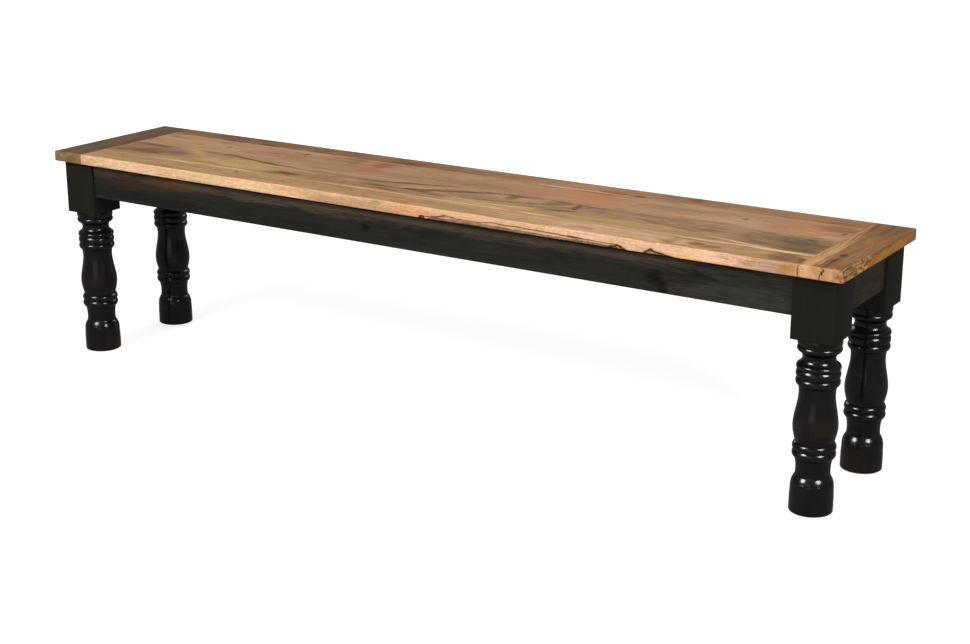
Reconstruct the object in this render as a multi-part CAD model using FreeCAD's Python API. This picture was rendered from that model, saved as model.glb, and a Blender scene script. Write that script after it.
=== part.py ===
import FreeCAD, Part
import math
import os
from FreeCAD import Placement, Rotation, Vector

# Dining bench: a plank top between two end boards, on a frame of four turned legs and four aprons.
# X runs along the bench, Y from the front to the rear and Z up; the origin is on the floor, under the middle.

# Overall size
bench_length = 1829.0
bench_depth = 350.0
seat_height = 457.0

# Top: three planks take a share of the depth, and the front plank the rest
top_thickness = 22.0
end_board_width = 80.0
rear_plank_share = 0.157
rear_centre_plank_share = 0.32
front_centre_plank_share = 0.314
top_edge_round = 2.0

# Dowels between planks and end boards
dowels_per_plank = 2
dowel_diameter = 10.0
dowel_length = 60.0
dowel_end_gap = 2.0

# Leg head: the square block that the aprons meet
top_overhang = 15.0
leg_block = 80.0
leg_block_height = 115.0
block_edge_round = 1.5

# Turning, from the block down: two collars, a neck, three beads, a vase, two rings, a neck and a foot
collar_start_radius = 38.0
collar_radius = 39.0
collar_groove_radius = 37.0
upper_collar_height = 14.0
lower_collar_height = 10.8
upper_neck_start_radius = 34.8
upper_neck_radius = 28.8
upper_neck_height = 20.9
bead_start_radius = 34.5
bead_radius = 38.9
bead_groove_radius = 36.2
upper_bead_height = 11.1
middle_bead_height = 15.2
lower_bead_height = 14.6
vase_start_radius = 33.3
vase_neck_radius = 32.1
vase_neck_drop = 9.4
vase_belly_radius = 39.4
vase_belly_rise = 25.0
vase_base_radius = 34.0
ring_radius = 38.5
ring_groove_radius = 36.0
ring_height = 14.8
lower_neck_start_radius = 33.6
lower_neck_radius = 30.8
lower_neck_height = 33.0
shoulder_start_radius = 31.5
shoulder_height = 20.5
shoulder_quirk = 0.7
foot_radius = 39.0
foot_height = 46.3
foot_edge_round = 1.5

# Aprons, set back from the faces of the leg blocks
apron_height = 75.0
apron_thickness = 25.0
apron_setback = 6.0
apron_edge_round = 1.5

# Corner blocks, drawn up to a flat that is cut on the inner arris of each leg block
corner_block_thickness = 24.0
corner_block_height = 60.0
leg_flat_width = 20.0
leg_flat_margin = 5.0
draw_gap = 0.8

# Hanger bolts with washers and nuts
bolt_diameter = 8.0
bolt_bite = 45.0
bolt_spacing = 30.0
bolt_tail = 5.0
washer_diameter = 22.0
washer_thickness = 1.6
nut_across_flats = 13.0
nut_height = 6.5

# Wood screws
screw_diameter = 4.2
screw_head_diameter = 8.0
screw_head_height = 2.5
counterbore_diameter = 10.0
top_screw_bite = 14.0
top_screw_grip = 26.0
top_screw_offset = 44.0
apron_screw_bite = 16.0
apron_screw_grip = 10.0
apron_screw_spacing = 34.0

# Cross battens under the planks, each with a pocket screw at both ends
batten_width = 45.0
batten_height = 22.0
batten_spacing = 520.0
batten_screw_offset = 11.0
pocket_angle = 15.0
pocket_web = 15.0

# Glides, each in a shallow recess under its foot
glide_diameter = 56.0
glide_thickness = 3.0
glide_recess = 2.0
glide_nail_diameter = 3.0
glide_nail_length = 18.0

# Clearances: between a pin and its own hole, round a bolt in its block, and past the tip of a pin
pin_fit = 0.1
bolt_hole_gap = 0.5
tip_gap = 1.0

# Levels and planes that follow from those sizes
top_underside = seat_height - top_thickness
block_underside = top_underside - leg_block_height
apron_underside = top_underside - apron_height
corner_block_underside = top_underside - corner_block_height
corner_block_middle = top_underside - corner_block_height / 2
batten_underside = top_underside - batten_height
foot_underside = glide_thickness - glide_recess
joint_x = bench_length / 2 - end_board_width
leg_outer_x = bench_length / 2 - top_overhang
leg_outer_y = bench_depth / 2 - top_overhang
leg_x = leg_outer_x - leg_block / 2
leg_y = leg_outer_y - leg_block / 2
leg_inner_x = leg_outer_x - leg_block
leg_inner_y = leg_outer_y - leg_block
apron_outer_x = leg_outer_x - apron_setback
apron_outer_y = leg_outer_y - apron_setback
apron_inner_x = apron_outer_x - apron_thickness
apron_inner_y = apron_outer_y - apron_thickness

# Joint lines of the planks, from the rear edge to the front
plank_names = ["rear", "rear_centre", "front_centre", "front"]
plank_edges = [bench_depth / 2]
for share in (rear_plank_share, rear_centre_plank_share, front_centre_plank_share):
    plank_edges.append(plank_edges[-1] - share * bench_depth)
plank_edges.append(-bench_depth / 2)

# The diagonal of a corner runs from the leg's inner arris towards the middle of the bench
inward = Vector(-1, -1, 0).normalize()
across = Vector(1, -1, 0).normalize()
flat_run = -leg_flat_width / 2
block_outer_run = flat_run + draw_gap
block_inner_run = block_outer_run + corner_block_thickness
block_middle_run = (block_outer_run + block_inner_run) / 2

CORNERS = {
    "front_left": (-1, -1),
    "front_right": (1, -1),
    "rear_left": (-1, 1),
    "rear_right": (1, 1),
}
UP = Vector(0, 0, 1)


def box(x_range, y_range, z_range):
    """Box between two limits on each axis."""
    low = Vector(x_range[0], y_range[0], z_range[0])
    size = Vector(x_range[1], y_range[1], z_range[1]) - low
    return Part.makeBox(size.x, size.y, size.z, low)


def mirrored(shape, signs):
    """Copy of a shape made in the rear right corner, for the corner with these signs."""
    result = shape.copy()
    if signs[0] < 0:
        result = result.mirror(Vector(0, 0, 0), Vector(1, 0, 0))
    if signs[1] < 0:
        result = result.mirror(Vector(0, 0, 0), Vector(0, 1, 0))
    return result


def in_corner(run, side, height):
    """Point of the rear right corner: run along its diagonal, side across it, at a height."""
    return Vector(leg_inner_x, leg_inner_y, height) + inward * run + across * side


def rod(start, direction, diameter, length):
    """Round bar, or the hole for one."""
    return Part.makeCylinder(diameter / 2, length, start, direction)


def wood_screw(seat, direction, length):
    """Pan-head screw: its head stands on the seat and its shank runs along the direction."""
    shank_radius = screw_diameter / 2
    outline = Part.makePolygon([
        Vector(0, 0, -screw_head_height),
        Vector(screw_head_diameter / 2, 0, -screw_head_height),
        Vector(screw_head_diameter / 2, 0, 0),
        Vector(shank_radius, 0, 0),
        Vector(shank_radius, 0, length - screw_diameter),
        Vector(0, 0, length),
        Vector(0, 0, -screw_head_height),
    ])
    screw = Part.Face(outline).revolve(Vector(0, 0, 0), UP, 360)
    screw.Placement = Placement(seat, Rotation(UP, direction))
    return Part.Solid(screw)


def screw_hole(seat, direction, length):
    """Hole that a wood screw of this length fills."""
    return rod(seat, direction, screw_diameter + 2 * pin_fit, length + tip_gap)


# Screws, each as its seat, direction and length, in the rear right corner
def corner_apron_screws():
    """Two screws into each of the two aprons that meet at the corner."""
    screws = []
    length = apron_screw_grip + apron_screw_bite
    reach = apron_inner_x - leg_inner_x + block_middle_run * math.sqrt(2)
    for side in (-1, 1):
        height = corner_block_middle + side * apron_screw_spacing / 2
        end_seat = Vector(apron_inner_x - apron_screw_grip, leg_inner_y - reach, height)
        screws.append((end_seat, Vector(1, 0, 0), length))
        long_seat = Vector(leg_inner_x - reach, apron_inner_y - apron_screw_grip, height)
        screws.append((long_seat, Vector(0, 1, 0), length))
    return screws


def corner_top_screws():
    """Two screws up through the corner block into the top."""
    seats = [in_corner(block_middle_run, side * top_screw_offset, top_underside - top_screw_grip)
             for side in (-1, 1)]
    return [(seat, UP, top_screw_grip + top_screw_bite) for seat in seats]


def batten_plank_screws(batten_x):
    """Two screws up through a batten into each of the two centre planks."""
    screws = []
    for rear_edge, front_edge in (plank_edges[1:3], plank_edges[2:4]):
        middle = (rear_edge + front_edge) / 2
        for side in (-1, 1):
            seat = Vector(batten_x - batten_screw_offset,
                          middle + side * (rear_edge - front_edge) / 4, batten_underside)
            screws.append((seat, UP, batten_height + top_screw_bite))
    return screws


def batten_pocket_screws(batten_x):
    """One angled screw from each end of a batten into the long apron."""
    screws = []
    tilt = math.radians(pocket_angle)
    for side in (-1, 1):
        direction = Vector(0, side * math.cos(tilt), math.sin(tilt))
        end_point = Vector(batten_x + batten_screw_offset, side * apron_inner_y,
                           batten_underside + batten_height / 2)
        screws.append((end_point - direction * pocket_web, direction, pocket_web + apron_screw_bite))
    return screws


def bolt_starts():
    """Inner ends of the two hanger bolts in the leg of the rear right corner."""
    return [in_corner(flat_run - bolt_bite, 0, corner_block_middle + side * bolt_spacing / 2)
            for side in (-1, 1)]


def plank_dowels(plank):
    """Y places of the dowels at the end of one plank."""
    rear_edge, front_edge = plank_edges[plank], plank_edges[plank + 1]
    step = (rear_edge - front_edge) / dowels_per_plank
    return [front_edge + step * (number + 0.5) for number in range(dowels_per_plank)]


batten_places = {"left": -batten_spacing, "centre": 0.0, "right": batten_spacing}
top_screws = [(Vector(seat.x * sign_x, seat.y * sign_y, seat.z), direction, length)
              for seat, direction, length in corner_top_screws()
              for sign_x, sign_y in CORNERS.values()]
plank_screws = [screw for place in batten_places.values() for screw in batten_plank_screws(place)]
pocket_screws = [screw for place in batten_places.values() for screw in batten_pocket_screws(place)]
dowel_places = [place for plank in range(len(plank_names)) for place in plank_dowels(plank)]


# Top
def dowel_holes(side):
    """Holes of all dowels at one end of the bench."""
    depth = dowel_length + 2 * dowel_end_gap
    starts = [Vector(side * joint_x - depth / 2, place, seat_height - top_thickness / 2)
              for place in dowel_places]
    return [rod(start, Vector(1, 0, 0), dowel_diameter + 2 * pin_fit, depth) for start in starts]


def make_dowels(side):
    """All dowels at one end of the bench."""
    starts = [Vector(side * joint_x - dowel_length / 2, place, seat_height - top_thickness / 2)
              for place in dowel_places]
    return [rod(start, Vector(1, 0, 0), dowel_diameter, dowel_length) for start in starts]


def make_top():
    """The rounded slab, cut into planks and end boards, each drilled for its own dowels and screws."""
    half_length, half_depth = bench_length / 2, bench_depth / 2
    slab = box((-half_length, half_length), (-half_depth, half_depth), (top_underside, seat_height))
    slab = slab.makeFillet(top_edge_round, slab.Edges)
    holes = dowel_holes(-1) + dowel_holes(1)
    holes += [screw_hole(*screw) for screw in top_screws + plank_screws]
    slab = slab.cut(holes)
    levels = (top_underside, seat_height)
    boards = {}
    for plank, name in enumerate(plank_names):
        span = (plank_edges[plank + 1], plank_edges[plank])
        boards["top_plank_" + name] = slab.common(box((-joint_x, joint_x), span, levels))
    depth_span = (-half_depth, half_depth)
    boards["end_board_left"] = slab.common(box((-half_length, -joint_x), depth_span, levels))
    boards["end_board_right"] = slab.common(box((joint_x, half_length), depth_span, levels))
    return boards


# Legs
def turned_outline():
    """Half outline of the turning, from the block's underside down to the foot's underside."""
    edges = []
    point = Vector(collar_start_radius, 0, block_underside)

    def stretch(height, middle_radius, end_radius):
        """Add a bead or a cove: an arc through the radius at its middle."""
        nonlocal point
        middle = Vector(middle_radius, 0, point.z - height / 2)
        end = Vector(end_radius, 0, point.z - height)
        edges.append(Part.Arc(point, middle, end).toShape())
        point = end

    def straight(radius, height):
        """Add a straight line to this radius and height."""
        nonlocal point
        end = Vector(radius, 0, height)
        edges.append(Part.LineSegment(point, end).toShape())
        point = end

    stretch(upper_collar_height, collar_radius, collar_groove_radius)
    stretch(lower_collar_height, collar_radius, upper_neck_start_radius)
    stretch(upper_neck_height, upper_neck_radius, bead_start_radius)
    stretch(upper_bead_height, bead_radius, bead_groove_radius)
    stretch(middle_bead_height, bead_radius, bead_groove_radius)
    stretch(lower_bead_height, bead_radius, vase_start_radius)

    # The vase takes the height that the other stretches leave
    shoulder_foot = foot_underside + foot_height
    shoulder_top = shoulder_foot + shoulder_height
    vase_base = shoulder_top + lower_neck_height + 2 * ring_height
    belly = vase_base + vase_belly_rise
    neck = point.z - vase_neck_drop
    vase = Part.BSplineCurve()
    vase.interpolate([
        point,
        Vector(vase_neck_radius, 0, neck),
        Vector((vase_neck_radius + vase_belly_radius) / 2, 0, (neck + belly) / 2),
        Vector(vase_belly_radius, 0, belly),
        Vector(vase_base_radius, 0, vase_base),
    ])
    edges.append(vase.toShape())
    point = Vector(vase_base_radius, 0, vase_base)

    stretch(ring_height, ring_radius, ring_groove_radius)
    stretch(ring_height, ring_radius, lower_neck_start_radius)
    stretch(lower_neck_height, lower_neck_radius, shoulder_start_radius)

    # The shoulder swells until it is upright, where a fine step marks the top of the foot
    shoulder_radius = foot_radius - shoulder_quirk
    swell = shoulder_radius - shoulder_start_radius
    arc_radius = (shoulder_height ** 2 + swell ** 2) / (2 * swell)
    bulge = arc_radius - math.sqrt(arc_radius ** 2 - (shoulder_height / 2) ** 2)
    stretch(shoulder_height, shoulder_radius - bulge, shoulder_radius)
    straight(foot_radius, shoulder_foot)
    straight(foot_radius, foot_underside + foot_edge_round)
    corner = foot_edge_round * (1 - math.sqrt(0.5))
    rounding = Vector(foot_radius - corner, 0, foot_underside + corner)
    end = Vector(foot_radius - foot_edge_round, 0, foot_underside)
    edges.append(Part.Arc(point, rounding, end).toShape())
    point = end
    straight(0, foot_underside)
    straight(0, block_underside)
    straight(collar_start_radius, block_underside)
    return edges


def make_leg():
    """Leg of the rear right corner: the turning below its square block."""
    turning = Part.Face(Part.Wire(turned_outline())).revolve(Vector(0, 0, 0), UP, 360)
    turning.translate(Vector(leg_x, leg_y, 0))
    block = box((leg_inner_x, leg_outer_x), (leg_inner_y, leg_outer_y), (block_underside, top_underside))
    arrises = [edge for edge in block.Edges if edge.BoundBox.ZMin < top_underside - leg_block_height / 2]
    block = block.makeFillet(block_edge_round, arrises)
    leg = block.fuse(Part.Solid(turning))

    # Flat for the corner block on the inner arris, hidden behind the aprons
    flat_foot = corner_block_underside - leg_flat_margin
    flat = Part.makeBox(leg_block, leg_block, top_underside - flat_foot)
    flat.translate(Vector(-leg_block / 2, -leg_block, 0))
    flat.Placement = Placement(in_corner(flat_run, 0, flat_foot), Rotation(UP, -45)).multiply(flat.Placement)
    leg = leg.cut(flat)

    hole = bolt_diameter + 2 * pin_fit
    holes = [rod(start - inward * tip_gap, inward, hole, bolt_bite + tip_gap) for start in bolt_starts()]
    recess = Vector(leg_x, leg_y, foot_underside)
    holes.append(rod(recess, UP, glide_diameter + 2 * pin_fit, glide_recess))
    nail_depth = glide_recess + glide_nail_length + tip_gap
    holes.append(rod(recess, UP, glide_nail_diameter + 2 * pin_fit, nail_depth))
    return leg.cut(holes).removeSplitter()


def make_glide():
    """Glide of the rear right foot: a disc on a nail."""
    disc = rod(Vector(leg_x, leg_y, 0), UP, glide_diameter, glide_thickness)
    nail = rod(Vector(leg_x, leg_y, 0), UP, glide_nail_diameter, glide_thickness + glide_nail_length)
    return disc.fuse(nail).removeSplitter()


# Frame
def make_aprons():
    """Four aprons between the leg blocks, with their lower edges eased."""
    levels = (apron_underside, top_underside)
    rear = box((-leg_inner_x, leg_inner_x), (apron_inner_y, apron_outer_y), levels)
    right = box((apron_inner_x, apron_outer_x), (-leg_inner_y, leg_inner_y), levels)

    def eased(apron, axis):
        """Round the two lower edges that run along the apron."""
        lower = [edge for edge in apron.Edges
                 if edge.BoundBox.ZMax < corner_block_underside and edge.tangentAt(0).dot(axis) ** 2 > 0.5]
        return apron.makeFillet(apron_edge_round, lower)

    rear = eased(rear, Vector(1, 0, 0))
    right = eased(right, Vector(0, 1, 0))
    aprons = {
        "apron_rear": rear,
        "apron_front": mirrored(rear, (1, -1)),
        "apron_right": right,
        "apron_left": mirrored(right, (-1, 1)),
    }
    corner_holes = [screw_hole(*screw) for screw in corner_apron_screws()]
    holes = [mirrored(hole, signs) for hole in corner_holes for signs in CORNERS.values()]
    holes += [screw_hole(*screw) for screw in pocket_screws]
    return {name: apron.cut(holes) for name, apron in aprons.items()}


def make_corner_block():
    """Corner block of the rear right corner, between the inner faces of its two aprons."""
    depth = apron_inner_x - leg_inner_x
    outer_reach = depth + block_outer_run * math.sqrt(2)
    inner_reach = depth + block_inner_run * math.sqrt(2)
    outline = Part.makePolygon([
        Vector(apron_inner_x, leg_inner_y - outer_reach, corner_block_underside),
        Vector(apron_inner_x, leg_inner_y - inner_reach, corner_block_underside),
        Vector(leg_inner_x - inner_reach, apron_inner_y, corner_block_underside),
        Vector(leg_inner_x - outer_reach, apron_inner_y, corner_block_underside),
        Vector(apron_inner_x, leg_inner_y - outer_reach, corner_block_underside),
    ])
    block = Part.Face(outline).extrude(UP * corner_block_height)
    hole = bolt_diameter + 2 * bolt_hole_gap
    holes = [rod(start, inward, hole, bolt_bite + leg_flat_width + corner_block_thickness * 2)
             for start in bolt_starts()]
    for seat, direction, length in corner_apron_screws() + corner_top_screws():
        holes.append(screw_hole(seat, direction, length))
        holes.append(rod(seat, direction * -1, counterbore_diameter, corner_block_height))
    return block.cut(holes)


def make_batten(batten_x):
    """Cross batten between the long aprons, drilled for its screws."""
    batten = box((batten_x - batten_width / 2, batten_x + batten_width / 2),
                 (-apron_inner_y, apron_inner_y), (batten_underside, top_underside))
    holes = [screw_hole(*screw) for screw in batten_plank_screws(batten_x)]
    pocket_run = (batten_height + counterbore_diameter) / math.sin(math.radians(pocket_angle))
    for seat, direction, length in batten_pocket_screws(batten_x):
        holes.append(screw_hole(seat, direction, length))
        holes.append(rod(seat, direction * -1, counterbore_diameter, pocket_run))
    return batten.cut(holes)


# Fasteners
def make_bolts():
    """Two hanger bolts of the rear right leg, through the corner block, its washer and its nut."""
    length = bolt_bite + (block_inner_run - flat_run) + washer_thickness + nut_height + bolt_tail
    return [rod(start, inward, bolt_diameter, length) for start in bolt_starts()]


def make_washers():
    """Washers on the inner face of the corner block."""
    washers = []
    for start in bolt_starts():
        seat = in_corner(block_inner_run, 0, start.z)
        disc = rod(seat, inward, washer_diameter, washer_thickness)
        washers.append(disc.cut(rod(seat, inward, bolt_diameter + 2 * bolt_hole_gap, washer_thickness)))
    return washers


def make_nuts():
    """Hexagon nuts on the washers."""
    nuts = []
    corner_radius = nut_across_flats / math.sqrt(3)
    hexagon = [Vector(corner_radius * math.cos(math.radians(60 * number)),
                      corner_radius * math.sin(math.radians(60 * number)), 0) for number in range(7)]
    for start in bolt_starts():
        seat = in_corner(block_inner_run + washer_thickness, 0, start.z)
        nut = Part.Face(Part.makePolygon(hexagon)).extrude(UP * nut_height)
        nut.Placement = Placement(seat, Rotation(UP, inward))
        nuts.append(nut.cut(rod(seat, inward, bolt_diameter + 2 * pin_fit, nut_height)))
    return nuts


# The whole bench, one node for each piece or for each kind of fastener
def in_all_corners(shapes):
    """Copies of some shapes of the rear right corner, in all four corners."""
    return [mirrored(shape, signs) for signs in CORNERS.values() for shape in shapes]


def make_bench():
    """Every node of the bench, by name."""
    nodes = make_top()
    nodes["end_board_dowels_left"] = Part.makeCompound(make_dowels(-1))
    nodes["end_board_dowels_right"] = Part.makeCompound(make_dowels(1))
    nodes.update(make_aprons())
    leg, corner_block, glide = make_leg(), make_corner_block(), make_glide()
    for corner, signs in CORNERS.items():
        nodes["leg_" + corner] = mirrored(leg, signs)
        nodes["corner_block_" + corner] = mirrored(corner_block, signs)
        nodes["foot_glide_" + corner] = mirrored(glide, signs)
    for name, place in batten_places.items():
        nodes["batten_" + name] = make_batten(place)
    nodes["hanger_bolts"] = Part.makeCompound(in_all_corners(make_bolts()))
    nodes["hanger_washers"] = Part.makeCompound(in_all_corners(make_washers()))
    nodes["hanger_nuts"] = Part.makeCompound(in_all_corners(make_nuts()))
    corner_screws = [wood_screw(*screw) for screw in corner_apron_screws()]
    nodes["corner_block_screws"] = Part.makeCompound(in_all_corners(corner_screws))
    nodes["top_screws"] = Part.makeCompound([wood_screw(*screw) for screw in top_screws])
    nodes["batten_screws"] = Part.makeCompound([wood_screw(*screw) for screw in plank_screws])
    nodes["batten_pocket_screws"] = Part.makeCompound([wood_screw(*screw) for screw in pocket_screws])
    return nodes


os.makedirs("parts", exist_ok=True)
for node, shape in make_bench().items():
    shape.exportStep(os.path.join("parts", node + ".step"))
    print(node, len(shape.Solids), "valid" if shape.isValid() else "INVALID", round(shape.Volume))
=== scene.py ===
# %% [markdown]
# A dining bench: four planks between two end boards, on a black frame with four turned legs.
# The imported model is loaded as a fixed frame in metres. X runs along the bench, Y from the front
# to the rear and Z up. Everything below dresses that frame and never moves it.

import cmath
import math

import bmesh
import bpy
import numpy as np
from mathutils import Matrix, Vector, noise


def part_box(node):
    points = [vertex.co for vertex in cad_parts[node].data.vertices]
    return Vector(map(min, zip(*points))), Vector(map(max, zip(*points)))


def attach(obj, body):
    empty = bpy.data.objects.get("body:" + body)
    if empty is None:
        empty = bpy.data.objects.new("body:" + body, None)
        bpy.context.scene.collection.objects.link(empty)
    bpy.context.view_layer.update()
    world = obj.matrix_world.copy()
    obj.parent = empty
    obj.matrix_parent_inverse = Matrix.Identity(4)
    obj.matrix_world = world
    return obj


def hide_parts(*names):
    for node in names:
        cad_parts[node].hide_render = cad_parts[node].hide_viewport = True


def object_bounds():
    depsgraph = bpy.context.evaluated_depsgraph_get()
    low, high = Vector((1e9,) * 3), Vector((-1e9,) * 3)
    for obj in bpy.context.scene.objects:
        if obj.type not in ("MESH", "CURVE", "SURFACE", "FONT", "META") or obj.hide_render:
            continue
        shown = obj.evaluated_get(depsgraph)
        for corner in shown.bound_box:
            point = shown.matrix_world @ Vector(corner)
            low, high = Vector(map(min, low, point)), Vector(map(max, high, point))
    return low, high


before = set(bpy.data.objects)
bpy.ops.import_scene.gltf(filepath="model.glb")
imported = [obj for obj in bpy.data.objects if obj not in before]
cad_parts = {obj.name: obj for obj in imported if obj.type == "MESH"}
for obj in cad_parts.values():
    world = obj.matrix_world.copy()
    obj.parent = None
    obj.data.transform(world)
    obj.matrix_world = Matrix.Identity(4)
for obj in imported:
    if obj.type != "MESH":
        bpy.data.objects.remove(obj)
cad_low, cad_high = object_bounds()
MM = 0.001
print("frame:", len(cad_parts), "nodes, box", [round(side, 3) for side in cad_high - cad_low])

# %% [markdown]
# The camera stands where the photograph was taken from: in front, to the right and a little above.
# Its place and focal length come from a fit of the bench's corners, so it is set by numbers and not by eye.

# %% Camera
IMAGE_WIDTH = 970
FOCAL_PIXELS = 1737.16
SENSOR_WIDTH = 36.0
CAMERA_PLACE = (1.9179, -2.8096, 1.2188)
CAMERA_PITCH, CAMERA_YAW = 17.114, 32.938
camera_data = bpy.data.cameras.new("photo_camera")
camera_data.sensor_width = SENSOR_WIDTH
camera_data.lens = FOCAL_PIXELS / IMAGE_WIDTH * SENSOR_WIDTH
camera = bpy.data.objects.new("photo_camera", camera_data)
camera.location = CAMERA_PLACE
camera.rotation_euler = (math.radians(90 - CAMERA_PITCH), 0, math.radians(CAMERA_YAW))
bpy.context.scene.collection.objects.link(camera)
bpy.context.scene.camera = camera
print("camera: lens", round(camera_data.lens, 2), "mm")

# %% [markdown]
# Nodes are added over and over below, so one helper adds a node, sets its options and feeds its inputs.
# A value is set on the socket, and a socket is linked. Short helpers on top of it give the commonest
# nodes: arithmetic, a change of range and a mix of two colours.

# %% Node helpers
def feed(node, inputs):
    """Set a node's inputs, by name or number, to values or link them to sockets."""
    for key, value in inputs.items():
        if isinstance(value, bpy.types.NodeSocket):
            node.id_data.links.new(value, node.inputs[key])
        else:
            node.inputs[key].default_value = value


def put(tree, kind, inputs=None, **options):
    """Add a node, set its options and feed its inputs."""
    made = tree.nodes.new(kind)
    for option, value in options.items():
        setattr(made, option, value)
    feed(made, inputs or {})
    return made


def calc(tree, operation, first, second=0.0, third=0.0):
    """Output of a Math node."""
    return put(tree, "ShaderNodeMath", {0: first, 1: second, 2: third}, operation=operation).outputs[0]


def times(tree, first, second, plus=0.0):
    """Product of two values plus a third one."""
    return calc(tree, "MULTIPLY_ADD", first, second, plus)


def vector_calc(tree, operation, first, second=(0, 0, 0), third=(0, 0, 0)):
    """Output of a Vector Math node."""
    made = put(tree, "ShaderNodeVectorMath", {0: first, 1: second, 2: third}, operation=operation)
    return made.outputs["Value" if operation == "LENGTH" else "Vector"]


def split(tree, vector):
    """X, Y and Z of a vector."""
    return put(tree, "ShaderNodeSeparateXYZ", {0: vector}).outputs


print("helpers:", ", ".join(helper.__name__ for helper in (feed, put, calc, times, vector_calc, split)))


# %% Ranges, mixes, groups and tones
def spread(tree, value, low, high, start=0.0, end=1.0, smooth=False):
    """Output of a Map Range node that takes low..high to start..end."""
    feeds = {"Value": value, "From Min": low, "From Max": high, "To Min": start, "To Max": end}
    kind = "SMOOTHSTEP" if smooth else "LINEAR"
    return put(tree, "ShaderNodeMapRange", feeds, interpolation_type=kind).outputs[0]


def blend(tree, factor, first, second, mode="MIX"):
    """Colour output of a Mix node."""
    made = put(tree, "ShaderNodeMix", {0: factor, 6: first, 7: second}, data_type="RGBA", blend_type=mode)
    return made.outputs[2]


def start_group(name, kind, inputs, outputs):
    """New node group with named sockets; returns it, what its input node gives, and its output node."""
    group = bpy.data.node_groups.new(name, kind)
    for label, socket_type, default in inputs:
        socket = group.interface.new_socket(label, in_out="INPUT", socket_type=socket_type)
        if default is not None:
            socket.default_value = default
    for label, socket_type in outputs:
        group.interface.new_socket(label, in_out="OUTPUT", socket_type=socket_type)
    return group, group.nodes.new("NodeGroupInput").outputs, group.nodes.new("NodeGroupOutput")


def start_finish(name):
    """New material; returns it with its tree, its shader and the place on the object."""
    finish = bpy.data.materials.new(name)
    finish.use_nodes = True
    tree = finish.node_tree
    return finish, tree, tree.nodes["Principled BSDF"], put(tree, "ShaderNodeTexCoord").outputs["Object"]


def tone(text):
    """Linear colour of a hexadecimal tone."""
    parts = [int(text[start:start + 2], 16) / 255 for start in (0, 2, 4)]
    linear = [part / 12.92 if part <= 0.04045 else ((part + 0.055) / 1.055) ** 2.4 for part in parts]
    return (*linear, 1.0)


print("mid tan:", [round(part, 3) for part in tone("a9866a")[:3]])

# %% [markdown]
# The photograph has two lamps, one at each side of the camera and about 2 m up. Their places were found
# from the pairs of highlights on the turned feet. A wide, weak fill in front keeps the apron readable,
# and another one behind does the same for the back. The lacquer of the legs mirrors large panels: one in
# front of each lamp, with a grid that keeps its light on the near end, and two behind the bench. They are
# linked to the legs alone and give no diffuse light, so colours stay as written.

# %% Lamps
BENCH_MIDDLE, NEAR_LEGS = Vector((0.0, 0.0, 0.35)), Vector((0.86, 0.0, 0.2))
# Place, width and power
LAMPS = {
    "lamp_left": ((-0.87, -2.33, 1.97), 0.50, 58.0),
    "lamp_right": ((3.08, -1.21, 2.05), 0.50, 54.0),
    "fill_front": ((0.9, -4.2, 0.8), 2.6, 45.0),
    "fill_rear": ((-2.2, 3.6, 0.8), 2.6, 70.0),
}
# Place, width, angle of the grid in degrees, and power
PANELS = {
    "panel_left": ((-0.87, -2.33, 1.97), 1.25, 100, 200.0),
    "panel_right": ((3.08, -1.21, 2.05), 1.25, 66, 80.0),
    "panel_rear_left": ((-2.8, 2.3, 2.0), 1.8, 180, 150.0),
    "panel_rear_right": ((0.1, 3.2, 2.0), 1.8, 180, 150.0),
}
lacquered = bpy.data.collections.new("lacquered")


def hang_lamp(name, place, width, power, target):
    """Round area lamp that faces a target."""
    lamp_data = bpy.data.lights.new(name, "AREA")
    lamp_data.shape = "DISK"
    lamp_data.size = width
    lamp_data.energy = power
    lamp = bpy.data.objects.new(name, lamp_data)
    lamp.location = place
    lamp.rotation_euler = (target - Vector(place)).to_track_quat("-Z", "Y").to_euler()
    lamp.visible_camera = False
    bpy.context.scene.collection.objects.link(lamp)
    return lamp


for name, (place, width, power) in LAMPS.items():
    lamp = hang_lamp(name, place, width, power, BENCH_MIDDLE)
    lamp.visible_glossy = name == "fill_front"
for name, (place, width, grid, power) in PANELS.items():
    panel = hang_lamp(name, place, width, power, BENCH_MIDDLE if "rear" in name else NEAR_LEGS)
    panel.data.spread = math.radians(grid)
    panel.visible_diffuse = False
    panel.light_linking.receiver_collection = lacquered
print("lamps:", ", ".join(LAMPS), "and", ", ".join(PANELS))

# %% [markdown]
# The background is plain white. What the camera and reflections see of the world is white, while the
# light that it gives is weaker. The floor is pale and glows a little, so that it goes to white around
# the bench and still keeps a soft shadow. From below it is clear, so that the frame and its fittings can
# be looked at, and it lies a hair under the glides, because faces in one plane would flicker.

# %% World
WORLD_FILL = 0.40


def seen_directly(tree):
    """1 for rays of the camera, of reflections and of glass, else 0."""
    path = put(tree, "ShaderNodeLightPath").outputs
    seen = calc(tree, "MAXIMUM", path["Is Camera Ray"], path["Is Transmission Ray"])
    return calc(tree, "MAXIMUM", seen, path["Is Glossy Ray"])


world = bpy.data.worlds.new("white_studio")
world.use_nodes = True
tree = world.node_tree
feed(tree.nodes["Background"], {
    "Color": (1, 1, 1, 1), "Strength": spread(tree, seen_directly(tree), 0.0, 1.0, WORLD_FILL, 1.0)})
bpy.context.scene.world = world
print("world:", world.name)

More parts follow.
